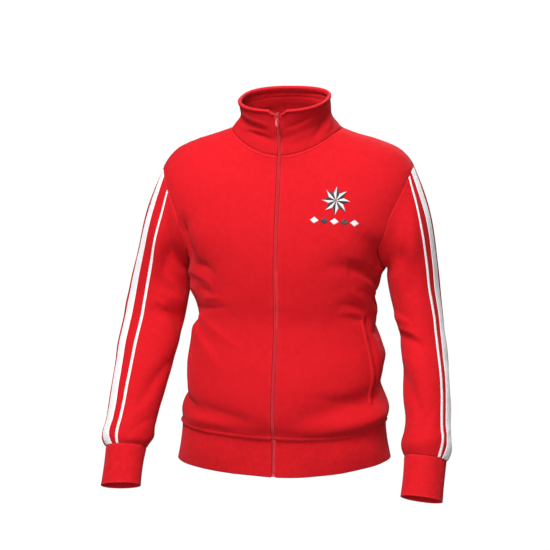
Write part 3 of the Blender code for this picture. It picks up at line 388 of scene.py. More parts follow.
def torso(phi, level):
    """The outer face of the body cloth, with its folds and its slight unevenness."""
    base = torso_form(phi, level)
    z = base[..., 2]
    slack = swelling(BODY_SWELLS, phi / TURN, z) * (1 - 0.6 * smooth_step((z + 0.24) / 0.10))
    above_hem = level - LEVEL["hem_seam"]
    fade = smooth_step(above_hem / 0.6) * smooth_step((LEVEL["shoulder_tip"] + 0.5 - level) / 1.5)
    rise = fold_height(TORSO_FOLDS, phi, z, GIRTH_RADIUS) * fade + slack * smooth_step(above_hem / 0.4)
    rise = rise * smooth_step((LEVEL["collar_seam"] - level) / 0.35)
    return base + normals_of(torso_form, phi, level) * rise[..., None]


# ---------------------------------------------------------------- fleece
# Brushed-back sweatshirt knit, dyed red: a fine jersey face with a slight nap, and a fluffy back.
# A painted highlight makes the face a little lighter and pinker beside seams and folded edges.

FACE_RED, FACE_DEEP_RED = (0.670, 0.0050, 0.0120, 1), (0.620, 0.0036, 0.0095, 1)
# painted highlight: the lighter, pinker colour beside seams and folded edges, and how far it reaches
SEAM_HIGHLIGHT_RED, SEAM_HIGHLIGHT_WIDTH = (0.720, 0.0160, 0.0270, 1), 0.0035
BACK_RED = (0.640, 0.0140, 0.0230, 1)
PINK_SHEEN = (1.0, 0.25, 0.30, 1)


def group_tree(name, inputs, outputs):
    """An empty shader node group. Its inputs are sizes with their usual values, or None for a place."""
    tree = bpy.data.node_groups.new(name, "ShaderNodeTree")
    for title, value in inputs.items():
        kind = "NodeSocketVector" if value is None else "NodeSocketFloat"
        made = tree.interface.new_socket(title, in_out="INPUT", socket_type=kind)
        if value is not None:
            made.default_value = value
    for title in outputs:
        tree.interface.new_socket(title, in_out="OUTPUT", socket_type="NodeSocketFloat")
    return tree, tree.nodes.new("NodeGroupInput"), tree.nodes.new("NodeGroupOutput")


def math_node(tree, operation, *values):
    """A Math node's output for the values, which are numbers or links."""
    return node(tree, "ShaderNodeMath", dict(enumerate(values)), operation=operation).outputs[0]


def knit_group():
    """Columns of V-shaped knitted loops on a cloth's own coordinates, in metres."""
    sizes = {"Cloth": None, "Column Width": 0.0011, "Row Height": 0.0009}
    tree, given, out = group_tree("knit_loops", sizes, ["Height"])
    place = node(tree, "ShaderNodeSeparateXYZ", {0: given.outputs["Cloth"]})
    across = math_node(tree, "DIVIDE", place.outputs[0], given.outputs["Column Width"])
    up = math_node(tree, "DIVIDE", place.outputs[1], given.outputs["Row Height"])
    share = math_node(tree, "FRACT", across)
    leg = math_node(tree, "ABSOLUTE", math_node(tree, "SUBTRACT", share, 0.5))
    slanted = math_node(tree, "ADD", up, leg)
    loop = math_node(tree, "COSINE", math_node(tree, "MULTIPLY", slanted, TURN))
    ridge = math_node(tree, "COSINE", math_node(tree, "MULTIPLY", share, 2 * TURN))
    loop = math_node(tree, "MULTIPLY_ADD", loop, 0.25, 0.75)
    ridge = math_node(tree, "MULTIPLY_ADD", ridge, -0.5, 0.5)
    tree.links.new(math_node(tree, "MULTIPLY", loop, ridge), out.inputs["Height"])
    return tree


def nap_group():
    """The brushed nap: fine fluff and broad soft patches, as a height and a tone."""
    sizes = {"Place": None, "Fluff Size": 0.0016, "Patch Size": 0.010}
    tree, given, out = group_tree("brushed_nap", sizes, ["Height", "Tone"])

    def cloud(size, detail, roughness):
        scale = math_node(tree, "DIVIDE", 1.0, given.outputs[size])
        looks = {"Vector": given.outputs["Place"], "Scale": scale, "Detail": detail, "Roughness": roughness}
        return node(tree, "ShaderNodeTexNoise", looks).outputs[0]

    fluff, patch = cloud("Fluff Size", 3.0, 0.6), cloud("Patch Size", 4.0, 0.55)
    tree.links.new(math_node(tree, "MULTIPLY_ADD", patch, 0.3, fluff), out.inputs["Height"])
    tone = math_node(tree, "MULTIPLY_ADD", fluff, 0.35, math_node(tree, "MULTIPLY", patch, 0.65))
    tree.links.new(tone, out.inputs["Tone"])
    return tree


KNIT, NAP = knit_group(), nap_group()


def new_material(name, roughness, **sockets):
    """A material with its Principled shader, and the shader's plain sockets set."""
    made = bpy.data.materials.new(name)
    made.use_nodes = True
    shader = made.node_tree.nodes["Principled BSDF"]
    shader.inputs["Roughness"].default_value = roughness
    for title, value in sockets.items():
        shader.inputs[title.replace("_", " ")].default_value = value
    return made, made.node_tree, shader


def mixed_colour(tree, share, first, second):
    """The mix of two colours. Mix has inputs for each kind of value, so the colours go by place."""
    return node(tree, "ShaderNodeMix", {0: share, 6: first, 7: second}, data_type="RGBA").outputs[2]


def paint(tree, shader, colour, *reliefs):
    """Gives a shader its colour and its reliefs, each a height, its strength and its depth."""
    tree.links.new(colour, shader.inputs["Base Color"])
    bump = {}
    for height, strength, depth in reliefs:
        bump.update({"Height": height, "Strength": strength, "Distance": depth})
        bump["Normal"] = node(tree, "ShaderNodeBump", bump).outputs[0]
    tree.links.new(bump["Normal"], shader.inputs["Normal"])


def knitted(tree, column, row):
    """The knitted loops and the nap of a cloth, as node groups placed in its material."""
    cloth = node(tree, "ShaderNodeUVMap", uv_map="cloth").outputs[0]
    place = node(tree, "ShaderNodeTexCoord").outputs["Object"]
    loops = {"Cloth": cloth, "Column Width": column, "Row Height": row}
    return (
        node(tree, "ShaderNodeGroup", loops, node_tree=KNIT),
        node(tree, "ShaderNodeGroup", {"Place": place}, node_tree=NAP),
    )


def cloth_material(name, deep, face, column, row, loop_depth, nap_depth, roughness, sheen):
    """A knitted cloth: loops and nap as relief, patchy dye, and a painted highlight beside its edges."""
    looks = {"Sheen_Roughness": 0.40, "Sheen_Tint": PINK_SHEEN, "Specular_IOR_Level": 0.22}
    made, tree, shader = new_material(name, roughness, Sheen_Weight=sheen, **looks)
    loops, nap = knitted(tree, column, row)
    patches = {"Value": nap.outputs["Tone"], "From Min": 0.38, "From Max": 0.62}
    dye = node(tree, "ShaderNodeMapRange", patches).outputs[0]
    # painted highlight: lighter and pinker within a few millimetres of every sewn or folded edge
    edge = node(tree, "ShaderNodeAttribute", attribute_name="edge_m").outputs["Fac"]
    highlight_falloff = {"Value": edge, "From Max": SEAM_HIGHLIGHT_WIDTH, "To Min": 0.55, "To Max": 0.0}
    highlight_share = node(tree, "ShaderNodeMapRange", highlight_falloff).outputs[0]
    colour = mixed_colour(tree, highlight_share, mixed_colour(tree, dye, deep, face), SEAM_HIGHLIGHT_RED)
    reliefs = (loops.outputs[0], 0.6, loop_depth), (nap.outputs["Height"], 0.7, nap_depth)
    paint(tree, shader, colour, *reliefs)
    return made


FLEECE = cloth_material(
    "red_fleece", FACE_DEEP_RED, FACE_RED, column=0.0011, row=0.0009,
    loop_depth=0.00022, nap_depth=0.00035, roughness=0.86, sheen=0.10,
)
FLEECE_BACK = cloth_material(
    "red_fleece_back", FACE_DEEP_RED, BACK_RED, column=0.0015, row=0.0015,
    loop_depth=0.0001, nap_depth=0.0009, roughness=0.95, sheen=0.20,
)

# ---------------------------------------------------------------- fronts and back
# Two fronts and a one-piece back in fleece, seamed at the sides and over the shoulders. The front
# edges are folded back along the zip and stitched down 6 mm in. Edges roll down into each seam.

FLEECE_THICK = 0.0022
SEAM_GAP = 0.0003
ZIP_HALF_GAP = 0.0045
BODY_STEP, BACK_STEP = 0.0031, 0.0037  # between grid lines
EDGE_PLACES = (0.0, 0.0009, 0.0025, 0.0042, 0.0062, 0.0080, 0.0105)  # grid lines beside an edge
EDGE_ZONE = EDGE_PLACES[-1]
NEAR_LINE, FAR_LINE = 2, 4  # grid lines that carry topstitching, counted from an edge
NEAR_END, FAR_END = -1 - NEAR_LINE, -1 - FAR_LINE  # and from the opposite edge
SIDES = ((1, "left"), (-1, "right"))
stitch_paths = {"red": [], "white": []}


def stitch(colour, points, away, *lines, closed=False):
    """Marks lines of a cloth's grid that carry stitches, which are sewn last."""
    stitch_paths[colour] += [(points[line], away[line], closed) for line in lines]


def spread(length, step):
    """Grid lines from 0 to length: close together beside both edges, a step apart between."""
    count = max(2, round((length - 2 * EDGE_ZONE) / step))
    middle = np.linspace(EDGE_ZONE, length - EDGE_ZONE, count + 1)
    edge = np.array(EDGE_PLACES)
    return np.concatenate([edge[:-1], middle, (length - edge[:-1])[::-1]])


def run_of(points, axis=0):
    """Distances along rows or columns of points, from 0 at the first."""
    steps = np.linalg.norm(np.diff(points, axis=axis), axis=-1)
    zero = np.zeros_like(np.take(steps, [0], axis=axis))
    return np.concatenate([zero, np.cumsum(steps, axis=axis)], axis=axis)


def levels_between(surface, low, high, step, phi=0.7):
    """Levels of a grid's rows, spread over the surface's run at the angle phi."""
    dense = np.linspace(low, high, 240)
    run = run_of(surface(phi, dense))
    return np.interp(spread(run[-1], step), run, dense)


def angles_across(surface, levels, starts, ends, step):
    """Angles of a panel's grid, row by row, from its start edge to its end edge."""
    dense = starts[:, None] + (ends - starts)[:, None] * np.linspace(0, 1, 181)
    runs = run_of(surface(dense, levels[:, None]), axis=1)
    widest = runs[:, -1].max()
    places = spread(widest, step)
    rows = []
    for angles, run in zip(dense, runs):
        total = run[-1]
        middle = EDGE_ZONE + (places - EDGE_ZONE) * (total - 2 * EDGE_ZONE) / (widest - 2 * EDGE_ZONE)
        at = np.where(places < EDGE_ZONE, places, middle)
        at = np.where(places > widest - EDGE_ZONE, total - (widest - places), at)
        rows.append(np.interp(at, run, angles))
    return np.array(rows)


def grid_normals(points, around=False):
    """Directions square to a grid of points, from its own rows and columns."""
    if around:
        padded = np.concatenate([points[:, -1:], points, points[:, :1]], axis=1)
        across = (padded[:, 2:] - padded[:, :-2]) / 2
    else:
        across = np.gradient(points, axis=1)
    return unit(np.cross(across, np.gradient(points, axis=0)))


def wall(name, outer, inner, materials, cloth_uv, edge, around=False, swell=0.35):
    """A closed cloth wall between two grids of points, with rounded rims. edge is each point's
    distance from the nearest sewn or folded edge."""
    rows, columns = outer.shape[:2]
    wide = columns if around else columns - 1
    out_id = np.arange(rows * columns).reshape(rows, columns)
    in_id = out_id + rows * columns
    i, j = np.meshgrid(np.arange(rows - 1), np.arange(wide), indexing="ij")
    k, m = i + 1, (j + 1) % columns
    corners = [(i, j, j), (i, m, j + 1), (k, m, j + 1), (k, j, j)]
    out_faces = np.stack([out_id[r, c] for r, c, _ in corners], axis=-1).reshape(-1, 4)
    in_faces = np.stack([in_id[r, c] for r, c, _ in corners[::-1]], axis=-1).reshape(-1, 4)
    uv_rows = cloth_uv if cloth_uv.shape[1] > wide else np.concatenate([cloth_uv, cloth_uv[:, -1:]], axis=1)
    out_uv = np.stack([uv_rows[r, u] for r, _, u in corners], axis=2).reshape(-1, 4, 2)
    in_uv = np.stack([uv_rows[r, u] for r, _, u in corners[::-1]], axis=2).reshape(-1, 4, 2)
    first = [(0, c) for c in range(columns)]
    last = [(rows - 1, c) for c in reversed(range(columns))]
    if around:
        loops = [first + first[:1], last + last[:1]]
    else:
        right = [(r, columns - 1) for r in range(rows)]
        left = [(r, 0) for r in reversed(range(rows))]
        loops = [first + right[1:] + last[1:] + left[1:]]
    points = [outer.reshape(-1, 3), inner.reshape(-1, 3)]
    faces, uvs, count = [out_faces, in_faces], [out_uv, in_uv], 2 * rows * columns
    rim_edges = [edge.reshape(-1), edge.reshape(-1)]
    for loop in loops:
        at = np.array(loop[:-1])
        o, n = outer[at[:, 0], at[:, 1]], inner[at[:, 0], at[:, 1]]
        beside_row = np.clip(at[:, 0], 1, rows - 2)
        beside_column = at[:, 1] if around else np.clip(at[:, 1], 1, columns - 2)
        out_of = unit(o - outer[beside_row, beside_column])
        thick = np.linalg.norm(o - n, axis=1, keepdims=True)
        points.append((o + n) / 2 + out_of * thick * swell)
        rim_edges.append(edge[at[:, 0], at[:, 1]])
        mid = count + np.arange(len(at))
        count += len(at)
        a, b = np.arange(len(at)), (np.arange(len(at)) + 1) % len(at)
        oid, nid = out_id[at[:, 0], at[:, 1]], in_id[at[:, 0], at[:, 1]]
        faces.append(np.stack([oid[b], oid[a], mid[a], mid[b]], axis=1))
        faces.append(np.stack([mid[b], mid[a], nid[a], nid[b]], axis=1))
        here = cloth_uv[at[:, 0], np.minimum(at[:, 1], cloth_uv.shape[1] - 1)]
        uvs += [np.stack([here[b], here[a], here[a], here[b]], axis=1)] * 2
    points, faces, uvs = np.concatenate(points), np.concatenate(faces), np.concatenate(uvs)
    triangles = np.concatenate([faces[:, :3], faces[:, [0, 2, 3]]])
    first, second, third = (points[triangles[:, k]] for k in range(3))
    if np.sum(first * np.cross(second, third)) < 0:
        faces, uvs = faces[:, ::-1], uvs[:, ::-1]
    data = bpy.data.meshes.new(name)
    data.from_pydata(points, [], faces.tolist())
    data.uv_layers.new(name="cloth").uv.foreach_set("vector", uvs.astype(np.float32).ravel())
    edges = np.concatenate(rim_edges).astype(np.float32)
    data.attributes.new("edge_m", "FLOAT", "POINT").data.foreach_set("value", edges)
    for made in materials:
        data.materials.append(made)
    if len(materials) > 1:
        index = np.zeros(len(faces), np.int32)
        index[len(out_faces) : len(out_faces) + len(in_faces)] = 1
        data.polygons.foreach_set("material_index", index)
    data.shade_smooth()
    return put_in_scene(name, data)


SEAM_ROLL, GROOVE_DEPTH, PUCKER_HEIGHT = 0.0014, 0.00045, 0.00055


def sewn(distance, along, seed, depth=0.0012, stitched=0.0025, padded=0.0):
    """The drop of a cloth's face into a seam, the groove of its stitches and their pucker.
    padded is the height of the turning under the cloth beside the seam."""
    drop = -depth * bell(distance / SEAM_ROLL) + padded * bell((distance - 0.0026) / 0.0017)
    if stitched:
        drop = drop - GROOVE_DEPTH * bell((distance - stitched) / 0.0010)
    pucker = uneven(along / 1.06, distance / 0.030 + 5, 97, seed)
    return drop + PUCKER_HEIGHT * pucker * np.exp(-distance / 0.008)


def belongs(piece, stands_for=None, body="garment"):
    """What every piece says: the body that it rides on and the node that it stands for."""
    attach(piece, body)
    if stands_for:
        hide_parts(stands_for)


def hung_cloth(piece, stands_for, cut, area):
    """What every piece of cloth says: what it stands for. Its cut is not used."""
    belongs(piece, stands_for)


def body_levels():
    """Levels of the body's grid rows from the hem seam to the collar seam, and the rows that lie
    along the armholes."""
    below = levels_between(torso_form, LEVEL["hem_seam"], LEVEL["underarm"], BODY_STEP)
    below = below[below < LEVEL["underarm"] - 1e-6]
    armhole = armhole_angle(np.linspace(math.pi, 0, 83), 1)[1]
    above = levels_between(torso_form, LEVEL["shoulder_tip"], LEVEL["collar_seam"], BODY_STEP)
    return np.concatenate([below, armhole, above[1:]]), len(below), len(armhole)


def edge_angle(surface, level, half_gap=ZIP_HALF_GAP):
    """The angle at which a folded front edge lies, half a gap from the middle of the zip."""
    dense = np.linspace(0, 0.6, 241)
    return float(np.interp(half_gap, surface(dense, level)[:, 0], dense))


LEVELS, ARMHOLE_START, ARMHOLE_ROWS = body_levels()
ARMHOLE = slice(ARMHOLE_START, ARMHOLE_START + ARMHOLE_ROWS)
ZIP_STARTS = np.array([edge_angle(torso_form, level) for level in LEVELS])


def side_ends(towards):
    """Where each row of a panel ends: at the side seam, the armhole or the shoulder seam."""
    ends = np.full(len(LEVELS), math.pi / 2)
    ends[ARMHOLE] = armhole_angle(towards * np.linspace(math.pi, 0, ARMHOLE_ROWS), 1)[0]
    return ends


# The pocket mouth's line: its ends in height, and its angle round the body at some heights
WELT_Z = (-0.524, -0.366)
WELT_LINE_Z = (-0.524, -0.509, -0.469, -0.432, -0.400, -0.366)
WELT_LINE_DEG = (66.5, 67.0, 66.5, 65.0, 62.5, 62.0)


def pocket_form(phi, z, side):
    """The slanted pocket mouth: a raised front edge and a hollow behind it."""
    off = (side * phi - np.radians(np.interp(z, WELT_LINE_Z, WELT_LINE_DEG))) * GIRTH_RADIUS
    inside = smooth_step((z - WELT_Z[0] + 0.011) / 0.018) * smooth_step((WELT_Z[1] + 0.014 - z) / 0.018)
    lip = 0.0014 * bell((off + 0.006) / 0.0065)
    step = -0.0055 * smooth_step(off / 0.0035) * bell(np.maximum(off - 0.004, 0) / 0.016)
    return (lip + step) * inside


def draw_in(points, rows=(0, -1), columns=(0, -1)):
    """Pulls a piece's sewn edges in by half the seam gap, so that two pieces don't touch. The edges
    are its first and last rows and columns, or some of them."""
    moved, beside = points.copy(), {0: 1, -1: -2}
    for r in rows:
        moved[r] += unit(points[beside[r]] - points[r]) * SEAM_GAP / 2
    for c in columns:
        moved[:, c] += unit(points[:, beside[c]] - points[:, c]) * SEAM_GAP / 2
    return moved


ZIP_EDGE, PLAIN_SEAM = (0.0008, 0.0062), (0.0012, 0.0)  # an edge's drop and its stitches' distance
FRONT_CUT, FRONT_AREA = (0.31, 0.64), 0.146
BACK_CUT, BACK_AREA = (0.56, 0.64), 0.300


def body_panel(name, phi, first, last, side=0):
    """A front or the back, with its outer grid and directions. first and last are its end edges."""
    level = LEVELS[:, None]
    outer = torso(phi, level)
    if side:
        lift = pocket_form(phi, outer[..., 2], side)
        outer = outer + normals_of(torso_form, phi, level) * lift[..., None]
    away = grid_normals(outer)
    if np.sum((away * outer)[..., :2]) < 0:
        away = -away
    across, up = run_of(outer, axis=1), run_of(outer, axis=0)
    to_side, to_top = across[:, -1:] - across, up[-1:] - up
    rise = sewn(up, across, 21, 0.0022, 0.0, 0.0026) + sewn(to_top, across, 22, 0.0012, 0.0062, 0.0005)
    rise = rise + sewn(across, up, 23, *first) + sewn(to_side, up, 24, *last)
    outer = draw_in(outer + away * rise[..., None])
    inner = draw_in(outer - away * FLEECE_THICK)
    edge = np.minimum(np.minimum(across, to_side), np.minimum(up, to_top))
    thing = wall(name, outer, inner, [FLEECE, FLEECE_BACK], np.stack([across, up], axis=-1), edge)
    return thing, outer, away


fronts = {}
for side, word in SIDES:
    angles = side * angles_across(torso_form, LEVELS, ZIP_STARTS, side_ends(1), BODY_STEP)
    piece, points, away = body_panel(f"cloth_front_{word}", angles, ZIP_EDGE, PLAIN_SEAM, side)
    hung_cloth(piece, f"front_{word}", FRONT_CUT, FRONT_AREA)
    fronts[side] = (points, away)
    stitch("red", points, away, np.s_[:, FAR_LINE], np.s_[NEAR_LINE, 3:-2], np.s_[NEAR_END, 3:-2])
    stitch("red", points, away, np.s_[ARMHOLE, NEAR_END])
ends = side_ends(-1)
angles = angles_across(torso_form, LEVELS, ends, TURN - ends, BACK_STEP)
piece, points, away = body_panel("cloth_back", angles, PLAIN_SEAM, PLAIN_SEAM)
hung_cloth(piece, "back", BACK_CUT, BACK_AREA)
stitch("red", points, away, np.s_[NEAR_LINE, 2:-2], np.s_[NEAR_END, 2:-2])
stitch("red", points, away, np.s_[ARMHOLE, NEAR_LINE], np.s_[ARMHOLE, NEAR_END])

# ---------------------------------------------------------------- collar
# A stand collar of two layers of fleece, turned over at the top. The turn is stitched down 10 mm
# below the edge, so that it rolls, and its front edges part above the slider.

COLLAR_RINGS = [
    TORSO_RINGS[-1],
    TorsoRing("collar_low", 0.012, 0.012, 0.1000, -0.008, 0.0830, 0.0740, -0.031, 0.036, 2.00),
    TorsoRing("collar_break", 0.030, 0.029, 0.0905, -0.0155, 0.0810, 0.0720, -0.005, 0.052, 2.12, 1.8),
    TorsoRing("collar_high", 0.048, 0.046, 0.0882, -0.0235, 0.0800, 0.0712, 0.018, 0.0675, 2.25, 1.4),
    TorsoRing("collar_top", 0.0640, 0.0595, 0.0880, -0.031, 0.0815, 0.0700, 0.0374, 0.0810, 2.35, 1.0),
]
V_DEPTH, V_HALF_WIDTH = 0.0092, 0.0165
V_BOTTOM = COLLAR_RINGS[-1].front_z - V_DEPTH
COLLAR_CORNER, COLLAR_CORNER_WIDTH = 0.06, 0.007  # share of the height that a rounded corner loses
COLLAR_TOP_LEVEL, COLLAR_ROW_STEP, COLLAR_STEP = 3.86, 0.0022, 0.0027
COLLAR_THICK, COLLAR_ROLL, COLLAR_ROLL_HEIGHT = 0.0034, 0.0016, 0.0104
INSIDE_SEAM_HEIGHT = 0.021  # the neck facing's seam, below the top
COLLAR_FOLD_RADIUS, COLLAR_SWELLS = 0.09, [Swells(0.0006, 0.03, 17, 7)]
COLLAR_CUT, COLLAR_AREA = (0.58, 0.088), 0.043
# Folds of the collar, along its turn in degrees and up its stand in metres
COLLAR_FOLDS = [
    Fold(-130, 0.030, 130, 0.030, 0.000, 0.013, -0.0034, 2.0),
    Fold(-66, 0.034, -14, 0.046, 0.003, 0.0064, -0.0045, 1.6),
    Fold(-60, 0.047, -16, 0.056, 0.002, 0.0055, 0.0024, 1.7),
    Fold(-40, 0.026, -10, 0.029, 0.002, 0.0055, -0.0033, 1.6),
    Fold(-52, 0.022, -20, 0.038, 0.002, 0.0055, 0.0024, 1.7),
    Fold(76, 0.046, 42, 0.018, 0.003, 0.0060, -0.0039, 1.6),
    Fold(84, 0.036, 56, 0.014, 0.003, 0.0064, 0.0030, 1.8),
    Fold(8, 0.052, 66, 0.056, 0.002, 0.0055, -0.0027, 1.7),
    Fold(10, 0.026, 48, 0.024, 0.003, 0.0083, 0.0021, 1.8),
    Fold(112, 0.030, 150, 0.040, 0.003, 0.0074, -0.0030, 1.7),
    Fold(-112, 0.040, -150, 0.028, 0.003, 0.0074, -0.0030, 1.7),
]


def nearest(values, value):
    """The place in a list of the number nearest to a value."""
    return int(np.argmin(np.abs(values - value)))


def collar(phi, level):
    return ring_surface(COLLAR_RINGS, phi, level)


def collar_start(level):
    """The angle of the collar's left front edge, which parts from the right above the slider."""
    parted = float(smooth_step((collar(0, level)[2] - V_BOTTOM) / V_DEPTH))
    return edge_angle(collar, level, ZIP_HALF_GAP + (V_HALF_WIDTH - ZIP_HALF_GAP) * parted)


def make_collar():
    """The collar's two layers, and their grids."""
    levels = levels_between(collar, 0.0, COLLAR_TOP_LEVEL, COLLAR_ROW_STEP, phi=math.pi / 2)
    starts = np.array([collar_start(level) for level in levels])
    phi = angles_across(collar, levels, starts, TURN - starts, COLLAR_STEP)
    from_front = run_of(collar(phi, levels[:, None]), axis=1)
    from_front = np.minimum(from_front, from_front[:, -1:] - from_front)
    rounded = COLLAR_CORNER * np.clip(1 - from_front / COLLAR_CORNER_WIDTH, 0, 1) ** 2
    level = levels[:, None] * (1 - rounded)
    outer, away = collar(phi, level), normals_of(collar, phi, level)
    up, across = run_of(outer, axis=0), run_of(outer, axis=1)
    to_top, to_end = up[-1:] - up, across[:, -1:] - across
    fade = smooth_step(up / 0.006) * smooth_step((to_top - 0.006) / 0.008)
    creases = fold_height(COLLAR_FOLDS, phi, up, COLLAR_FOLD_RADIUS) * fade
    creases = creases + swelling(COLLAR_SWELLS, phi / TURN, up) * fade
    stitched = 1.6 * bell((to_top - COLLAR_ROLL_HEIGHT) / 0.0020)
    roll = COLLAR_ROLL * (smooth_step((COLLAR_ROLL_HEIGHT - to_top) / 0.004) - stitched)
    front_roll = 0.0007 * smooth_step((0.0062 - np.minimum(across, to_end)) / 0.003)
    thick = FLEECE_THICK + (COLLAR_THICK - FLEECE_THICK) * smooth_step(up / 0.008)
    facing_seam = 0.0011 * bell((to_top - INSIDE_SEAM_HEIGHT) / 0.0014)
    inner = outer + away * (creases * 0.7 + facing_seam - roll - thick)[..., None]
    outer = outer + away * (creases + roll + front_roll + sewn(up, across, 31, 0.0012, 0.0))[..., None]
    edge = np.minimum(np.minimum(to_top, up), np.minimum(across, to_end))
    outer, inner = (draw_in(sheet, rows=(0,), columns=()) for sheet in (outer, inner))
    uv = np.stack([across, up], axis=-1)
    piece = wall("cloth_collar", outer, inner, [FLEECE, FLEECE], uv, edge, swell=0.5)
    hung_cloth(piece, "collar", COLLAR_CUT, COLLAR_AREA)
    from_top = to_top[:, 40]  # down one column, clear of the rounded corner
    roll_row, seam_row = nearest(from_top, COLLAR_ROLL_HEIGHT), nearest(from_top, INSIDE_SEAM_HEIGHT)
    stitch("red", outer, away, np.s_[roll_row, 4:-4])
    stitch("red", inner, -away, np.s_[roll_row, 4:-4], np.s_[seam_row, 4:-4])
    stitch("red", outer, away, np.s_[1:-4, FAR_LINE], np.s_[1:-4, FAR_END])
    return inner, away


COLLAR_INNER, COLLAR_OUT = make_collar()

# ---------------------------------------------------------------- ribs
# Doubled rib knit, folded at the open edge and sewn to the fleece at the other. It grips a little
# between its ends. The columns of the knit stand up as fine ribs on both faces.

RIB_THICK, RIB_PITCH, RIB_DEPTH = 0.0026, 0.0033, 0.00018
RIB_POINTS = 6  # grid points for each rib
HEM_CUT, HEM_AREA = (1.08, 0.082), 0.0825
CUFF_CUT, CUFF_AREA = (0.25, 0.080), 0.0178
RIB_DEEP_RED = (0.620, 0.0045, 0.0100, 1)
RIB_RED = (0.710, 0.0060, 0.0130, 1)
RIB_KNIT = cloth_material(
    "red_rib", RIB_DEEP_RED, RIB_RED, column=RIB_PITCH / 2, row=0.0011,
    loop_depth=0.00022, nap_depth=0.00035, roughness=0.88, sheen=0.22,
)


def geometry_tree(name, *sizes):
    """An empty geometry node tree with its sizes and its finish as inputs."""
    tree = bpy.data.node_groups.new(name, "GeometryNodeTree")
    inputs = [("Geometry", "Geometry"), *((size, "Float") for size in sizes), ("Finish", "Material")]
    for title, kind in inputs:
        tree.interface.new_socket(title, in_out="INPUT", socket_type="NodeSocket" + kind)
    tree.interface.new_socket("Geometry", in_out="OUTPUT", socket_type="NodeSocketGeometry")
    return tree, tree.nodes.new("NodeGroupInput").outputs


def end_tree(tree, given, made):
    """Ends a tree: what it made becomes real geometry and takes the finish."""
    real = node(tree, "GeometryNodeRealizeInstances", {"Geometry": made.outputs[0]})
    finish = {"Geometry": real.outputs[0], "Material": given["Finish"]}
    painted = node(tree, "GeometryNodeSetMaterial", finish)
    node(tree, "NodeGroupOutput", {"Geometry": painted.outputs[0]})
    return tree


def attribute(tree, name, kind="FLOAT"):
    """A named attribute's value at each point."""
    named = node(tree, "GeometryNodeInputNamedAttribute", {"Name": name}, data_type=kind)
    return named.outputs["Attribute"]


def scaled(tree, vector, by):
    """A vector times a number."""
    return node(tree, "ShaderNodeVectorMath", {0: vector, "Scale": by}, operation="SCALE").outputs[0]


def keep_result(thing):
    """Makes what the object's modifiers give its plain mesh, and removes them."""
    bpy.context.view_layer.update()
    made = bpy.data.meshes.new_from_object(thing.evaluated_get(bpy.context.evaluated_depsgraph_get()))
    thing.modifiers.clear()
    thing.data = made
    made.name = thing.name


def shape_by(thing, tree, finish, **sizes):
    """Runs a geometry node tree on the object and keeps its result."""
    modifier = thing.modifiers.new(tree.name, "NODES")
    modifier.node_group = tree
    sizes["finish"] = finish
    for item in tree.interface.items_tree:
        if item.in_out == "INPUT" and item.name.lower() in sizes:
            modifier[item.identifier] = sizes[item.name.lower()]
    keep_result(thing)
    thing.data.materials.clear()
    thing.data.materials.append(finish)
    thing.data.polygons.foreach_set("material_index", np.zeros(len(thing.data.polygons), np.int32))


def rib_tree():
    """Raises ribs along a cloth wall: cosine waves of the attribute around_m, square to it."""
    tree, given = geometry_tree("rib_knit", "Pitch", "Depth")
    turns = math_node(tree, "DIVIDE", attribute(tree, "around_m"), given["Pitch"])
    wave = math_node(tree, "COSINE", math_node(tree, "MULTIPLY", turns, TURN))
    flat = {"Value": attribute(tree, "edge_m"), "From Max": 0.004, "To Min": 0.3}
    wave = math_node(tree, "MULTIPLY", wave, node(tree, "ShaderNodeMapRange", flat).outputs[0])
    lift = math_node(tree, "MULTIPLY", wave, given["Depth"])
    offset = scaled(tree, node(tree, "GeometryNodeInputNormal").outputs[0], lift)
    moved = node(tree, "GeometryNodeSetPosition", {"Geometry": given["Geometry"], "Offset": offset})
    return end_tree(tree, given, moved)


RIBS = rib_tree()


def rib_band(name, outer, inner, around_m, edge, around=False):
    """A rib band's wall with its ribs raised. around_m is the place of each column round the band."""
    uv = np.stack([np.repeat(around_m[None], len(outer), axis=0), run_of(outer, axis=0)], axis=-1)
    rims = [around_m, around_m[::-1]]
    if around:
        closing = np.full(len(outer), around_m[-1] + (around_m[-1] - around_m[-2]))
        uv = np.concatenate([uv, np.stack([closing, uv[:, -1, 1]], axis=-1)[:, None]], axis=1)
    else:
        start, end = np.full(len(outer) - 2, around_m[0]), np.full(len(outer) - 1, around_m[-1])
        rims = [around_m, end, around_m[-2::-1], start]
    thing = wall(name, outer, inner, [RIB_KNIT], uv, edge, around, swell=0.5)
    values = np.concatenate([np.tile(around_m, 2 * len(outer)), *rims]).astype(np.float32)
    thing.data.attributes.new("around_m", "FLOAT", "POINT").data.foreach_set("value", values)
    shape_by(thing, RIBS, RIB_KNIT, pitch=RIB_PITCH, depth=RIB_DEPTH)
    return thing


GATHER_HEIGHT, RIB_SEAM_DROP = 0.0007, 0.0012


def gathers(turn, to_seam, cells, reach, seed):
    """The small gathers of a rib band beside its seam, and its drop into it."""
    gather = GATHER_HEIGHT * uneven(turn, 0.5, cells, seed) * np.exp(-to_seam / reach)
    return gather - RIB_SEAM_DROP * bell(to_seam / 0.0016)


HEM_LEVELS = np.array([0.0, 0.06, 0.16, 0.35, 0.7, 1.1, 1.5, 1.8, 1.93, 2.0])


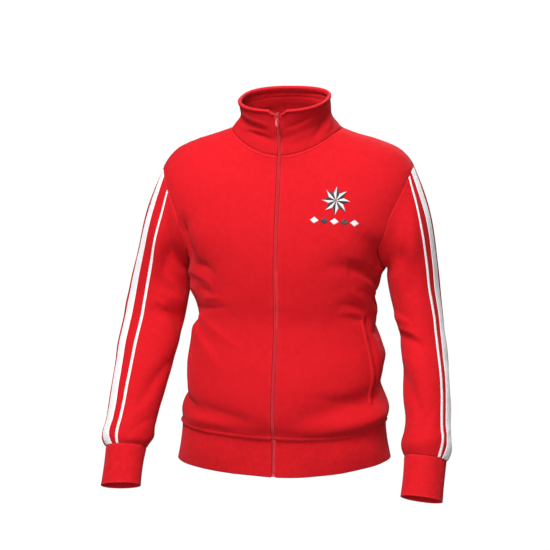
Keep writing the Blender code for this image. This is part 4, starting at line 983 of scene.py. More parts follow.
def hem_band():
    """The hem's rib, from one front edge round to the other."""
    starts = np.array([edge_angle(torso_form, level) for level in HEM_LEVELS])
    level = HEM_LEVELS[:, None]
    dense = starts[:, None] + (TURN - 2 * starts)[:, None] * np.linspace(0, 1, 1201)
    runs = run_of(torso_form(dense, level), axis=1)
    count = round(runs[:, -1].mean() / RIB_PITCH) * RIB_POINTS
    phi = np.array([np.interp(np.linspace(0, run[-1], count + 1), run, a) for run, a in zip(runs, dense)])
    outer, away = torso_form(phi, level), normals_of(torso_form, phi, level)
    around_m = np.linspace(0, count / RIB_POINTS * RIB_PITCH, count + 1)
    up = run_of(outer, axis=0)
    to_seam, turn = up[-1:] - up, phi / TURN
    wave = 0.0011 * uneven(turn, up / 0.09 + 3, 29, 41) * smooth_step(to_seam / 0.03)
    outer = outer + away * (wave + gathers(turn, to_seam, 90, 0.012, 42))[..., None]
    outer, inner = (draw_in(sheet, rows=(-1,), columns=()) for sheet in (outer, outer - away * RIB_THICK))
    thing = rib_band("cloth_hem_band", outer, inner, around_m, np.minimum(up, to_seam))
    hung_cloth(thing, "hem_band", HEM_CUT, HEM_AREA)
    stitch("red", outer, away, np.s_[:, NEAR_LINE], np.s_[:, NEAR_END])
    return inner, away


HEM_INNER, HEM_OUT = hem_band()

# ---------------------------------------------------------------- sleeves and cuffs
# One-piece sleeves set into the armholes and seamed underneath, with rib cuffs. The arms hang with
# the elbows a little bent, so the cloth folds inside the elbow and lies full above the cuff.

SleeveRing = namedtuple("SleeveRing", "name x y z half_across half_fore_aft raise_deg lean_deg")
LEFT_SLEEVE_RINGS = [
    SleeveRing("cap", 0.2415, 0.000, -0.2160, 0.0695, 0.0760, 54, 0),
    SleeveRing("upper_arm", 0.2500, -0.001, -0.2730, 0.0535, 0.0720, 24, 2),
    SleeveRing("biceps", 0.2580, -0.006, -0.3260, 0.0495, 0.0680, 6, 6),
    SleeveRing("elbow_upper", 0.2720, -0.026, -0.3880, 0.0450, 0.0630, 2, 13),
    SleeveRing("elbow", 0.2805, -0.052, -0.4350, 0.0440, 0.0600, 0, 22),
    SleeveRing("forearm", 0.2885, -0.098, -0.5020, 0.0450, 0.0550, -1, 28),
    SleeveRing("lower_forearm", 0.2930, -0.139, -0.5640, 0.0435, 0.0500, -2, 30),
    SleeveRing("blouse", 0.2925, -0.158, -0.5920, 0.0465, 0.0470, -4, 30),
    SleeveRing("cuff_seam", 0.2920, -0.166, -0.6060, 0.0400, 0.0400, -4, 29),
    SleeveRing("cuff_end", 0.2880, -0.202, -0.6710, 0.0392, 0.0385, -4, 28),
]
RIGHT_SLEEVE_RINGS = [
    SleeveRing("cap", 0.2420, 0.000, -0.2160, 0.0705, 0.0740, 54, 0),
    SleeveRing("upper_arm", 0.2535, -0.001, -0.2730, 0.0580, 0.0680, 24, 2),
    SleeveRing("biceps", 0.2625, -0.006, -0.3260, 0.0615, 0.0620, 8, 6),
    SleeveRing("elbow_upper", 0.2705, -0.026, -0.3880, 0.0625, 0.0540, 3, 13),
    SleeveRing("elbow", 0.2760, -0.052, -0.4350, 0.0615, 0.0500, 1, 22),
    SleeveRing("forearm", 0.2825, -0.098, -0.5080, 0.0550, 0.0460, 0, 28),
    SleeveRing("lower_forearm", 0.2875, -0.139, -0.5740, 0.0495, 0.0445, -2, 29),
    SleeveRing("blouse", 0.2900, -0.159, -0.6040, 0.0490, 0.0450, -4, 29),
    SleeveRing("cuff_seam", 0.2895, -0.167, -0.6170, 0.0405, 0.0390, -4, 28),
    SleeveRing("cuff_end", 0.2905, -0.2025, -0.6820, 0.0396, 0.0380, -6, 28),
]
ARM_RADIUS, SLEEVE_COLUMNS, SLEEVE_STEP = 0.055, 148, 0.0032
ARMHOLE_MIDDLE = (0.215, 0.0, -0.165)
SLEEVE_SWELLS = [Swells(0.0013, 0.07, 6, 50), Swells(0.0007, 0.03, 15, 60)]
ABOVE_CUFF_SWELLS, CUFF_SWELLS = [Swells(0.0018, 0.016, 7, 70)], [Swells(0.0008, 0.03, 7, 90)]
CUFF_GIRTH, CUFF_GRIP = 0.25, 0.955
CUFF_SHARES = (0, 0.025, 0.07, 0.16, 0.32, 0.5, 0.68, 0.84, 0.93, 0.98, 1)
SLEEVE_CUT, SLEEVE_AREA = (0.48, 0.52), 0.175
# Folds: degrees round the sleeve from its outer line to the front, and metres down the arm
LEFT_SLEEVE_FOLDS = [
    Fold(132, 0.030, 196, 0.030, 0.000, 0.016, 0.0060, 1.8),
    Fold(118, 0.045, 84, 0.160, 0.010, 0.018, -0.0070, 1.8),
    Fold(112, 0.014, 128, 0.100, 0.004, 0.011, -0.0030, 1.7),
    Fold(86, 0.020, 112, 0.060, 0.004, 0.012, 0.0030, 1.8),
    Fold(60, 0.020, 82, 0.120, -0.004, 0.012, 0.0022),
    Fold(168, 0.250, 78, 0.285, 0.006, 0.016, -0.0080, 1.6),
    Fold(160, 0.236, 92, 0.262, 0.006, 0.0085, 0.0044, 1.5),
    Fold(150, 0.262, 104, 0.284, 0.004, 0.0075, -0.0030, 1.4),
    Fold(170, 0.212, 108, 0.222, 0.004, 0.016, 0.0060, 1.7),
    Fold(150, 0.196, 96, 0.236, 0.006, 0.0095, -0.0028, 1.5),
    Fold(175, 0.320, 98, 0.440, 0.008, 0.018, -0.0070, 1.8),
    Fold(150, 0.300, 92, 0.350, 0.006, 0.012, 0.0026, 1.7),
    Fold(70, 0.400, 120, 0.462, 0.006, 0.011, -0.0026, 1.6),
    Fold(20, 0.440, 100, 0.474, 0.004, 0.009, 0.0020, 1.7),
    Fold(-60, 0.230, -150, 0.260, 0.006, 0.018, -0.0070, 1.8),
    Fold(-50, 0.290, -130, 0.270, 0.006, 0.017, -0.0060, 1.8),
    Fold(-40, 0.100, -110, 0.170, 0.008, 0.014, 0.0030, 1.8),
    Fold(-70, 0.420, -150, 0.455, 0.004, 0.011, -0.0030, 1.7),
]
RIGHT_SLEEVE_FOLDS = [
    Fold(150, 0.034, 226, 0.060, 0.000, 0.020, 0.0040, 1.8),
    Fold(130, 0.045, 108, 0.180, 0.010, 0.018, -0.0070, 1.8),
    Fold(84, 0.006, 128, 0.066, 0.000, 0.012, -0.0060, 1.8),
    Fold(84, 0.064, 150, 0.178, 0.008, 0.012, 0.0036, 1.6),
    Fold(96, 0.058, 160, 0.168, 0.006, 0.010, -0.0030, 1.6),
    Fold(176, 0.250, 112, 0.215, 0.008, 0.016, -0.0085, 1.6),
    Fold(168, 0.268, 112, 0.206, 0.006, 0.0085, -0.0034, 1.4),
    Fold(170, 0.285, 120, 0.240, 0.006, 0.010, 0.0034, 1.6),
    Fold(172, 0.215, 124, 0.175, 0.004, 0.016, 0.0060, 1.7),
    Fold(140, 0.230, 96, 0.190, 0.004, 0.0095, 0.0022, 1.6),
    Fold(175, 0.320, 116, 0.440, 0.010, 0.018, -0.0075, 1.8),
    Fold(150, 0.410, 96, 0.476, 0.006, 0.010, 0.0024, 1.7),
    Fold(164, 0.446, 110, 0.484, 0.004, 0.008, -0.0026, 1.5),
    Fold(-60, 0.240, -150, 0.250, 0.006, 0.018, -0.0070, 1.8),
    Fold(-50, 0.280, -130, 0.300, 0.006, 0.017, -0.0060, 1.8),
    Fold(-44, 0.110, -120, 0.150, 0.008, 0.014, 0.0030, 1.8),
    Fold(-66, 0.440, -150, 0.462, 0.004, 0.011, -0.0030, 1.7),
]


def sleeve_ring_points(ring, theta, side):
    """One ring of a sleeve: theta is 0 on the outer line and a quarter turn at the front."""
    raised, lean = math.radians(ring.raise_deg), math.radians(ring.lean_deg)
    out = np.array([side * math.cos(raised), 0, math.sin(raised)])
    ahead = np.array([0, -math.cos(lean), math.sin(lean)])
    middle = np.array([side * ring.x, ring.y, ring.z])
    across = np.cos(theta)[..., None] * ring.half_across * out
    return middle + across + np.sin(theta)[..., None] * ring.half_fore_aft * ahead


def outward_from_arm(points):
    """Directions square to a sleeve's grid, away from the arm."""
    away = grid_normals(points, around=True)
    return away * np.sign(np.sum(away * (points - points.mean(axis=1, keepdims=True))))


def make_sleeve(side, word, rings, folds):
    """A sleeve from the armhole down to the cuff seam, and its grid."""
    theta = np.linspace(0, TURN, SLEEVE_COLUMNS + 1)[:-1]
    distance = run_of(np.array([ARMHOLE_MIDDLE] + [(r.x, r.y, r.z) for r in rings]))
    level = np.interp(spread(distance[-1], SLEEVE_STEP), distance, np.arange(len(distance)))
    keys = [torso(*armhole_angle(theta, side))] + [sleeve_ring_points(r, theta, side) for r in rings]
    form = along_keys(np.array(keys), level, distance)
    level = level[:, None]
    along = np.interp(level, np.arange(len(distance)), distance)
    to_cuff = distance[-1] - along
    turned, turn = np.angle(np.exp(1j * theta))[None], theta[None] / TURN
    fade = smooth_step(level / 0.9) * smooth_step((len(distance) - 1 - level) / 0.8)
    above_cuff = np.exp(-((to_cuff / 0.035) ** 2)) * swelling(ABOVE_CUFF_SWELLS, turn, along, side)
    slack = (swelling(SLEEVE_SWELLS, turn, along, side) + above_cuff) * smooth_step(along / 0.03)
    rise = fold_height(folds, turned, along, ARM_RADIUS) * fade + slack * smooth_step(to_cuff / 0.008)
    outer = form + outward_from_arm(form) * rise[..., None]
    away = outward_from_arm(outer)
    down = run_of(outer, axis=0)
    to_cuff = down[-1:] - down
    around = run_of(np.concatenate([outer, outer[:, :1]], axis=1), axis=1)
    seam = np.broadcast_to((math.pi - np.abs(turned)) * ARM_RADIUS, down.shape)
    rise = sewn(down, around[:, :-1], 81) + sewn(to_cuff, around[:, :-1], 82) - 0.0010 * bell(seam / 0.0018)
    outer = draw_in(outer + away * rise[..., None], columns=())
    inner = draw_in(outer - away * FLEECE_THICK, columns=())
    edge = np.minimum(np.minimum(down, to_cuff), seam)
    uv = np.stack([around, -np.concatenate([down, down[:, :1]], axis=1)], axis=-1)
    thing = wall(f"cloth_sleeve_{word}", outer, inner, [FLEECE, FLEECE_BACK], uv, edge, around=True)
    hung_cloth(thing, f"sleeve_{word}", SLEEVE_CUT, SLEEVE_AREA)
    stitch("red", outer, away, NEAR_END, closed=True)
    return outer, away, theta, down


def make_cuff(side, word, seam, end):
    """A cuff: a doubled tube of rib between its seam and its folded open end."""
    count = round(CUFF_GIRTH / RIB_PITCH) * RIB_POINTS
    theta = np.linspace(0, TURN, count + 1)[:-1]
    outer, inner = [], []
    for share in CUFF_SHARES:
        ring = SleeveRing("cuff", *(a + (b - a) * share for a, b in zip(seam[1:], end[1:])))
        grip = 1 - (1 - CUFF_GRIP) * math.sin(math.pi * share) ** 0.5
        for sheet, thick in ((outer, 0), (inner, RIB_THICK)):
            across, fore_aft = ring.half_across * grip - thick, ring.half_fore_aft * grip - thick
            sized = ring._replace(half_across=across, half_fore_aft=fore_aft)
            sheet.append(sleeve_ring_points(sized, theta, side))
    outer, inner = np.array(outer), np.array(inner)
    away, down, turn = unit(outer - inner), run_of(outer, axis=0), theta[None] / TURN
    loose = swelling(CUFF_SWELLS, turn, down, side) + gathers(turn, down, 24, 0.010, 92 + side)
    outer, inner = (draw_in(s + away * loose[..., None], rows=(0,), columns=()) for s in (outer, inner))
    around_m = np.arange(count) / RIB_POINTS * RIB_PITCH
    thing = rib_band(f"cloth_cuff_{word}", outer, inner, around_m, np.minimum(down, down[-1:] - down), True)
    hung_cloth(thing, f"cuff_{word}", CUFF_CUT, CUFF_AREA)


sleeves = {}
for (side, word), rings, folds in zip(
    SIDES, (LEFT_SLEEVE_RINGS, RIGHT_SLEEVE_RINGS), (LEFT_SLEEVE_FOLDS, RIGHT_SLEEVE_FOLDS)
):
    sleeves[side] = make_sleeve(side, word, rings[:-1], folds)
    make_cuff(side, word, *rings[-2:])

# ---------------------------------------------------------------- sleeve bands
# Two white knitted tapes sewn down the outside of each sleeve: a broad one and a fine one. Each is
# held by a row of white stitches near its edges, and its edges are slightly rounded.

SleeveBand = namedtuple("SleeveBand", "name left_deg right_deg width spaces rows")
SLEEVE_BANDS = [
    SleeveBand("wide", 24.0, 46.0, 0.0220, 16, (0.0016, 0.0204)),
    SleeveBand("narrow", 50.0, 80.0, 0.0055, 6, (0.00275,)),
]
STRIP_THICK, STRIP_LIFT = 0.0009, 0.0001
BAND_WHITE, BAND_SHADE = (0.97, 0.96, 0.97, 1), (0.92, 0.91, 0.92, 1)


def tape_material(name, light, shade, column, row, depth, roughness, sheen=0.15):
    """A smooth flat-knitted tape."""
    made, tree, shader = new_material(name, roughness, Sheen_Weight=sheen, Specular_IOR_Level=0.35)
    loops, nap = knitted(tree, column, row)
    colour = mixed_colour(tree, nap.outputs["Tone"], shade, light)
    paint(tree, shader, colour, (loops.outputs[0], 0.6, depth))
    return made


WHITE_TAPE = tape_material(
    "white_tape", BAND_WHITE, BAND_SHADE, column=0.0008, row=0.0008,
    depth=0.00012, roughness=0.72, sheen=0.7,
)


def read_line(at, places, values):
    """Points of a line, read at some places along it."""
    return np.stack([np.interp(at, places, values[:, k]) for k in range(3)], axis=1)


def lay_strip(name, points, lifts, places, down, height, finish, swell=0.35):
    """A strip lying on a cloth: places are its grid lines across, and height its thickness there."""
    near = points + lifts * STRIP_LIFT
    far = near + lifts * height[:, None]
    across = np.broadcast_to(places, points.shape[:2])
    uv = np.stack([across, np.broadcast_to(down, points.shape[:2])], axis=-1)
    edge = np.minimum(across - places[0], places[-1] - across)
    return wall(name, far, near, [finish], uv, edge, swell=swell), far


def lay_band(band, side, word):
    """A band of constant width laid on the sleeve's own grid."""
    outer, away, theta, down = sleeves[side]
    middle = math.radians(band.left_deg if side > 0 else band.right_deg)
    places = np.linspace(-band.width / 2, band.width / 2, band.spaces + 1)
    reach = np.linspace(-0.75, 0.75, 121)
    around = np.append(theta, TURN)
    points, lifts = [], []
    for ring, tops in zip(outer[1:-1], away[1:-1]):
        ring, tops = np.vstack([ring, ring[:1]]), np.vstack([tops, tops[:1]])
        run = run_of(read_line(np.mod(middle + reach, TURN), around, ring))
        here = np.mod(middle + np.interp(places, run - np.interp(0, reach, run), reach), TURN)
        points.append(read_line(here, around, ring))
        lifts.append(unit(read_line(here, around, tops)))
    points, lifts = np.array(points), np.array(lifts)
    height = STRIP_THICK * (1 - 0.45 * np.abs(places / (band.width / 2)) ** 6)
    name, down = f"tape_{band.name}_{word}", down[1:-1, :1]
    thing, far = lay_strip(name, points, lifts, places, down, height, WHITE_TAPE)
    belongs(thing, f"band_{band.name}_{word}")
    for row in band.rows:
        stitch("white", far, lifts, np.s_[1:-1, nearest(places + band.width / 2, row)])


for side, word in SIDES:
    for band in SLEEVE_BANDS:
        lay_band(band, side, word)

# ---------------------------------------------------------------- pockets
# Slanted welt pockets: a strip of fleece folded over the mouth's front edge and stitched down in
# two rows. The mouth lies open a little behind it.

WELT_WIDTH, WELT_ROWS = 0.011, 66
WELT_PLACES = np.array([0, 0.0008, 0.0020, 0.0038, 0.0055, 0.0072, 0.0090, 0.0102, WELT_WIDTH])
WELT_STITCHES = (2, 6)  # the grid lines that carry the two rows
WELT_CURVE = 1.08  # more angle for each metre, because the front is flatter than the side
WELT_CUT = (0.011, 0.163)


def surface_reader(name):
    """A function that drops points onto a piece's face along a direction."""
    thing = bpy.data.objects[name]
    tree = BVHTree.FromObject(thing, bpy.context.evaluated_depsgraph_get())

    def drop(point, direction, reach=0.03):
        direction = Vector(direction)
        return tree.ray_cast(Vector(point) + direction * reach, -direction, 2 * reach)[0]

    return drop


def level_of_height(phi, z, low="hem_seam", high="underarm"):
    """The body's level at a height, between two rings."""
    dense = np.linspace(LEVEL[low], LEVEL[high], 300)
    return float(np.interp(z, torso_form(phi, dense)[:, 2], dense))


def lay_welt(side, word):
    """A pocket's welt, dropped onto the front along the pocket mouth's line."""
    drop = surface_reader(f"cloth_front_{word}")
    points, lifts = [], []
    for z in np.linspace(*WELT_Z, WELT_ROWS):
        line = math.radians(float(np.interp(z, WELT_LINE_Z, WELT_LINE_DEG)))
        for place in WELT_PLACES:
            phi = side * (line - place / GIRTH_RADIUS * WELT_CURVE)
            level = level_of_height(phi, z)
            spot, out = torso_form(phi, level), normals_of(torso_form, phi, level)
            points.append(drop(spot, out) or spot)
            lifts.append(out)
    points, lifts = (np.array(v, float).reshape(WELT_ROWS, -1, 3) for v in (points, lifts))
    half = WELT_WIDTH / 2
    crown = STRIP_THICK * (1 - 0.4 * (np.abs(WELT_PLACES - half) / half) ** 6)
    groove = 0.0003 * sum(bell((WELT_PLACES - WELT_PLACES[k]) / 0.0006) for k in WELT_STITCHES)
    down, height = run_of(points, axis=0), crown - groove
    thing, far = lay_strip(f"welt_{word}", points, lifts, WELT_PLACES, down, height, FLEECE, swell=0.45)
    hung_cloth(thing, f"pocket_welt_{word}", WELT_CUT, None)
    for column in WELT_STITCHES:
        stitch("red", far, lifts, np.s_[1:-1, column])


for side, word in SIDES:
    lay_welt(side, word)

# ---------------------------------------------------------------- zip
# A closed nylon coil zip between two woven tapes, dyed a dusky red, with a lacquered slider and
# pull tab. Above the slider the tapes part with the collar's front edges.

CHAIN_DEPTH = 0.0009
TOOTH_STEP = 0.00082  # from one tooth to the next, which comes from the other side
TOOTH_SIZE = {"length": 0.0031, "height": 0.00078, "depth": 0.0012}
TAPE_REACH, TAPE_THICK, TAPE_DEPTH, TAPE_SPACES = 0.0080, 0.0008, 0.00055, 6
TAPE_SHOWS, PARTED_TAPE_SHOWS = 0.0041, 0.0030  # between a front edge and its tape's free edge
TAPE_CUT, TAPE_WIDTH = (0.0125, 0.71), 0.011
STOP_HEIGHT, FOOT_GAP = 0.0060, 0.0006
SLIDER_SIZE, SLIDER_DEPTH, SLIDER_BELOW_V = (0.0076, 0.0026, 0.0090), 0.0001, 0.0010
TAPE_RED, TAPE_SHADE = (0.74, 0.016, 0.026, 1), (0.60, 0.009, 0.016, 1)
NYLON_RED, NYLON_SHADE = (0.88, 0.034, 0.052, 1), (0.72, 0.020, 0.032, 1)
LACQUER_RED, LACQUER_SHADE = (0.62, 0.040, 0.055, 1), (0.50, 0.022, 0.034, 1)
TAPE_WEAVE = tape_material(
    "zip_tape_weave", TAPE_RED, TAPE_SHADE, column=0.0006, row=0.0009, depth=0.0002, roughness=0.8
)


def speckled_material(name, light, dark, roughness, grain, bump, metallic=0.0, coat=0.0):
    """Thread, moulded nylon or lacquered metal: slightly uneven tone and gloss."""
    looks = {"Coat_Weight": coat, "Coat_Roughness": 0.15, "Metallic": metallic}
    made, tree, shader = new_material(name, roughness, **looks)
    place = node(tree, "ShaderNodeTexCoord").outputs["Object"]
    cloud = node(tree, "ShaderNodeTexNoise", {"Vector": place, "Scale": grain, "Detail": 4.0}).outputs[0]
    gloss = {"Value": cloud, "To Min": roughness - 0.08, "To Max": roughness + 0.12}
    tree.links.new(node(tree, "ShaderNodeMapRange", gloss).outputs[0], shader.inputs["Roughness"])
    paint(tree, shader, mixed_colour(tree, cloud, dark, light), (cloud, 0.4, bump))
    return made


NYLON = speckled_material("zip_nylon", NYLON_RED, NYLON_SHADE, roughness=0.5, grain=900.0, bump=0.0001)
LACQUER = speckled_material(
    "red_lacquer", LACQUER_RED, LACQUER_SHADE, roughness=0.3, grain=500.0, bump=0.00005,
    metallic=0.25, coat=0.5,
)


def zip_line():
    """Points of the zip's line with their outward and upward directions, from the hem up to the
    collar's top."""
    body, neck = np.linspace(0, LEVEL["collar_seam"] - 0.04, 300), np.linspace(0.06, 4, 60)
    points = np.concatenate([torso_form(0, body), collar(0, neck)])
    up = unit(np.gradient(points, axis=0))
    return points, np.stack([np.zeros(len(up)), -up[:, 2], up[:, 1]], axis=1), up


ZIP_POINTS, ZIP_OUT, ZIP_UP = zip_line()
SLIDER_HEIGHT = V_BOTTOM - SLIDER_BELOW_V


def zip_row(height):
    """The row of the zip's line at a height."""
    return nearest(ZIP_POINTS[:, 2], height)


def moved_shape(tree, shape, **move):
    """A Transform Geometry node on the shape, with its scale, rotation or translation."""
    move = {title.capitalize(): value for title, value in move.items()}
    return node(tree, "GeometryNodeTransform", {"Geometry": shape.outputs[0], **move})


PATH_SIZES = ("Step", "Length", "Height", "Depth")


def path_tree(tree, given, shape, tangent, primary):
    """Ends a tree that sets a shape along a path, at even steps and upright on the cloth."""
    path = node(tree, "GeometryNodeMeshToCurve", {"Mesh": given["Geometry"]}).outputs[0]
    even = node(tree, "GeometryNodeResampleCurve", {"Curve": path, "Length": given["Step"]}, mode="LENGTH")
    size = node(tree, "ShaderNodeCombineXYZ", {0: given["Length"], 1: given["Height"], 2: given["Depth"]})
    sized = moved_shape(tree, shape, scale=size.outputs[0])
    smooth = node(tree, "GeometryNodeSetShadeSmooth", {"Geometry": sized.outputs[0]}).outputs[0]
    axes = {"Primary Axis": tangent, "Secondary Axis": attribute(tree, "away", "FLOAT_VECTOR")}
    turn = node(tree, "FunctionNodeAxesToRotation", axes, primary_axis=primary, secondary_axis="Z")
    set_out = {"Points": even.outputs[0], "Instance": smooth, "Rotation": turn.outputs[0]}
    return end_tree(tree, given, node(tree, "GeometryNodeInstanceOnPoints", set_out))


def tooth_tree():
    """Teeth along a path, each turned to the other side of it from the last."""
    tree, given = geometry_tree("coil_teeth", *PATH_SIZES)
    shank = node(tree, "GeometryNodeMeshCylinder", {"Vertices": 8, "Radius": 0.5, "Depth": 1.0})
    head = node(tree, "GeometryNodeMeshUVSphere", {"Segments": 8, "Rings": 5, "Radius": 0.62})
    laid = moved_shape(tree, shank, rotation=(0, math.pi / 2, 0), translation=(0.56, 0, 0))
    tip = moved_shape(tree, head, scale=(0.30, 1.0, 1.0), translation=(0.04, 0, 0))
    tooth = node(tree, "GeometryNodeJoinGeometry")
    for part in (laid, tip):
        tree.links.new(part.outputs[0], tooth.inputs[0])
    odd = math_node(tree, "MODULO", node(tree, "GeometryNodeInputIndex").outputs[0], 2.0)
    sign = math_node(tree, "MULTIPLY_ADD", odd, -2.0, 1.0)
    tangent = scaled(tree, node(tree, "GeometryNodeInputTangent").outputs[0], sign)
    return path_tree(tree, given, tooth, tangent, "Y")


def path_object(name, paths):
    """A wire mesh of the paths, each given as points, directions and whether it closes."""
    points, edges, away = [], [], []
    for line, out, closed in paths:
        first, count = len(points), len(line)
        points += [tuple(p) for p in line]
        away += [tuple(v) for v in out]
        edges += [(first + k, first + (k + 1) % count) for k in range(count if closed else count - 1)]
    data = bpy.data.meshes.new(name)
    data.from_pydata(points, edges, [])
    away = np.array(away, np.float32).ravel()
    data.attributes.new("away", "FLOAT_VECTOR", "POINT").data.foreach_set("vector", away)
    return put_in_scene(name, data)


foot_top, slider_foot = ZIP_POINTS[0, 2] + STOP_HEIGHT + FOOT_GAP, SLIDER_HEIGHT - SLIDER_SIZE[2] / 2
shut = slice(zip_row(foot_top), zip_row(slider_foot))
chain = ZIP_POINTS[shut] - ZIP_OUT[shut] * (CHAIN_DEPTH + TOOTH_SIZE["depth"] / 2)
coil = path_object("zip_coil", [(chain, ZIP_OUT[shut], False)])
shape_by(coil, tooth_tree(), NYLON, step=TOOTH_STEP, **TOOTH_SIZE)
belongs(coil, "zip_chain")


def front_edge(side):
    """The inside of a front edge from the hem band over the front to the collar: its points, their
    directions into the cloth and outward."""
    def column(number):
        return number if side > 0 else -1 - number

    points, out = fronts[side]
    inside = points - out * FLEECE_THICK
    edge, beside = (
        np.concatenate([HEM_INNER[:-1, column(hem)], inside[1:-1, front], COLLAR_INNER[1:, column(neck)]])
        for hem, front, neck in ((0, 0, 0), (8, 4, 4))
    )
    out = np.concatenate([HEM_OUT[:-1, column(0)], out[1:-1, 0], COLLAR_OUT[1:, column(0)]])
    return edge, unit(beside - edge), unit(out)


def lay_zip_tape(side, word):
    """A woven tape behind a front edge."""
    edge_line, inward, out = front_edge(side)
    showing = np.where(edge_line[:, 2] > SLIDER_HEIGHT, PARTED_TAPE_SHOWS, TAPE_SHOWS)[:, None, None]
    places = np.linspace(0, 1, TAPE_SPACES + 1)
    reach = (showing + TAPE_REACH) * places[None, :, None] - showing
    points = (edge_line - out * TAPE_DEPTH)[:, None] + inward[:, None] * reach
    across = np.broadcast_to(places * TAPE_WIDTH, points.shape[:2])
    uv = np.stack([across, run_of(points, axis=0)], axis=-1)
    back = points - out[:, None] * TAPE_THICK
    piece = wall(f"woven_tape_{word}", points, back, [TAPE_WEAVE], uv, run_of(points, axis=1), swell=0.2)
    hung_cloth(piece, f"zip_tape_{word}", TAPE_CUT, None)


for side, word in SIDES:
    lay_zip_tape(side, word)

# The box and pin at the foot keep their solid
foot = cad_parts["zip_foot"]
foot.data.materials.clear()
foot.data.materials.append(NYLON)


def hard_piece(name, mesh, body, stands_for, bevel=0.0):
    """A small lacquered piece from its bmesh: bevelled, smooth and placed on its body."""
    bmesh.ops.recalc_face_normals(mesh, faces=mesh.faces[:])
    data = bpy.data.meshes.new(name)
    mesh.to_mesh(data)
    mesh.free()
    data.materials.append(LACQUER)
    thing = put_in_scene(name, data)
    if bevel:
        rounded = thing.modifiers.new("rounded_edges", "BEVEL")
        rounded.width, rounded.segments, rounded.limit_method = bevel, 3, "ANGLE"
        keep_result(thing)
    thing.data.shade_smooth()
    thing.data.set_sharp_from_angle(angle=math.radians(50))
    belongs(thing, stands_for, body)


def pairs(loop):
    """Each member of a closed loop with the next."""
    return list(zip(loop, loop[1:] + loop[:1]))


def join_rings(mesh, one, other):
    """Faces between two rings of as many vertices."""
    for (a, b), (c, d) in zip(pairs(one), pairs(other)):
        mesh.faces.new((a, b, d, c))


slider_row = zip_row(SLIDER_HEIGHT)
SLIDER_OUT, SLIDER_UP = Vector(ZIP_OUT[slider_row]), Vector(ZIP_UP[slider_row])
SLIDER_MIDDLE = Vector(ZIP_POINTS[slider_row]) - SLIDER_OUT * SLIDER_DEPTH
# The slider's right side from the bottom up, as shares of its half width and half height
SHIELD_SIDE = ((0.62, -1), (0.80, -0.30), (1, 0.55), (0.72, 1), (0.25, 0.86))
SHIELD_THICK, FLANGE_THICK, FLANGE_WIDTH, FLANGE_DEPTH = 0.0009, 0.0008, 0.0007, 0.0011
WEDGE_HALF_WIDTHS, WEDGE_TOP = (0.0007, 0.0013), 0.84
BRIDGE_RISE, BRIDGE_REACH, BRIDGE_BAR, BRIDGE_HALF = 0.0027, 0.0026, 0.0007, 0.0009


def plate(mesh, outline, thick, middle=0.0):
    """Adds a plate to the slider: its outline in (across, up), and its thickness round a depth."""
    rings = []
    for depth in (middle - thick / 2, middle + thick / 2):
        spots = [Vector((x, 0, 0)) + SLIDER_OUT * depth + SLIDER_UP * z for x, z in outline]
        rings.append([mesh.verts.new(SLIDER_MIDDLE + spot) for spot in spots])
    mesh.faces.new(rings[0][::-1])
    mesh.faces.new(rings[1])
    join_rings(mesh, *rings)


def slider_mesh():
    """Two shield-shaped plates joined by a wedge, with side flanges and the tab's bridge."""
    mesh = bmesh.new()
    half, thick, tall = (value / 2 for value in SLIDER_SIZE)
    right = [(half * x, tall * z) for x, z in SHIELD_SIDE]
    shield = right + [(-x, z) for x, z in right[::-1]]
    for middle in (thick - SHIELD_THICK / 2, SHIELD_THICK / 2 - thick):
        plate(mesh, shield, SHIELD_THICK, middle)
    low, high = WEDGE_HALF_WIDTHS
    top = tall * WEDGE_TOP
    plate(mesh, [(-low, 0.0004), (low, 0.0004), (high, top), (-high, top)], 2 * thick - 0.0010)
    for way in (1, -1):
        flange = right[:3] + [(x - FLANGE_WIDTH, z) for x, z in right[2::-1]]
        plate(mesh, [(way * x, z) for x, z in flange][::way], FLANGE_THICK, thick - FLANGE_DEPTH)
    turn = np.linspace(0, math.pi, 13)
    arch = []
    for way, inset in ((1, 0.0), (-1, BRIDGE_BAR)):
        rise = (BRIDGE_RISE - inset) * fuller(np.cos(turn), 0.7)
        reach = thick + (BRIDGE_REACH - inset) * np.sin(turn) ** 0.7
        arch += list(zip(rise, reach))[::way]
    sides = []
    for x in (-BRIDGE_HALF, BRIDGE_HALF):
        spots = [Vector((x, 0, 0)) + SLIDER_OUT * depth + SLIDER_UP * z for z, depth in arch]
        sides.append([mesh.verts.new(SLIDER_MIDDLE + spot) for spot in spots])
    for ring in sides:
        for k in range(len(turn) - 1):
            mesh.faces.new((ring[k], ring[k + 1], ring[-2 - k], ring[-1 - k]))
    join_rings(mesh, *sides)
    return mesh


hard_piece("slider_body", slider_mesh(), "garment", "zip_slider", bevel=0.00022)

TAB_LENGTH, TAB_WIDTHS, TAB_THICK, TAB_BAR = 0.0205, (0.0046, 0.0066), 0.0011, 0.0009
TAB_WINDOW, TAB_AXIS_REACH = (0.0024, 0.0042), 0.0011
TAB_PIT_HALF, TAB_PIT_MIDDLE, TAB_PIT_DEPTH, TAB_PIT_FLOOR = (0.0017, 0.0052), -0.0130, 0.0002, 0.82


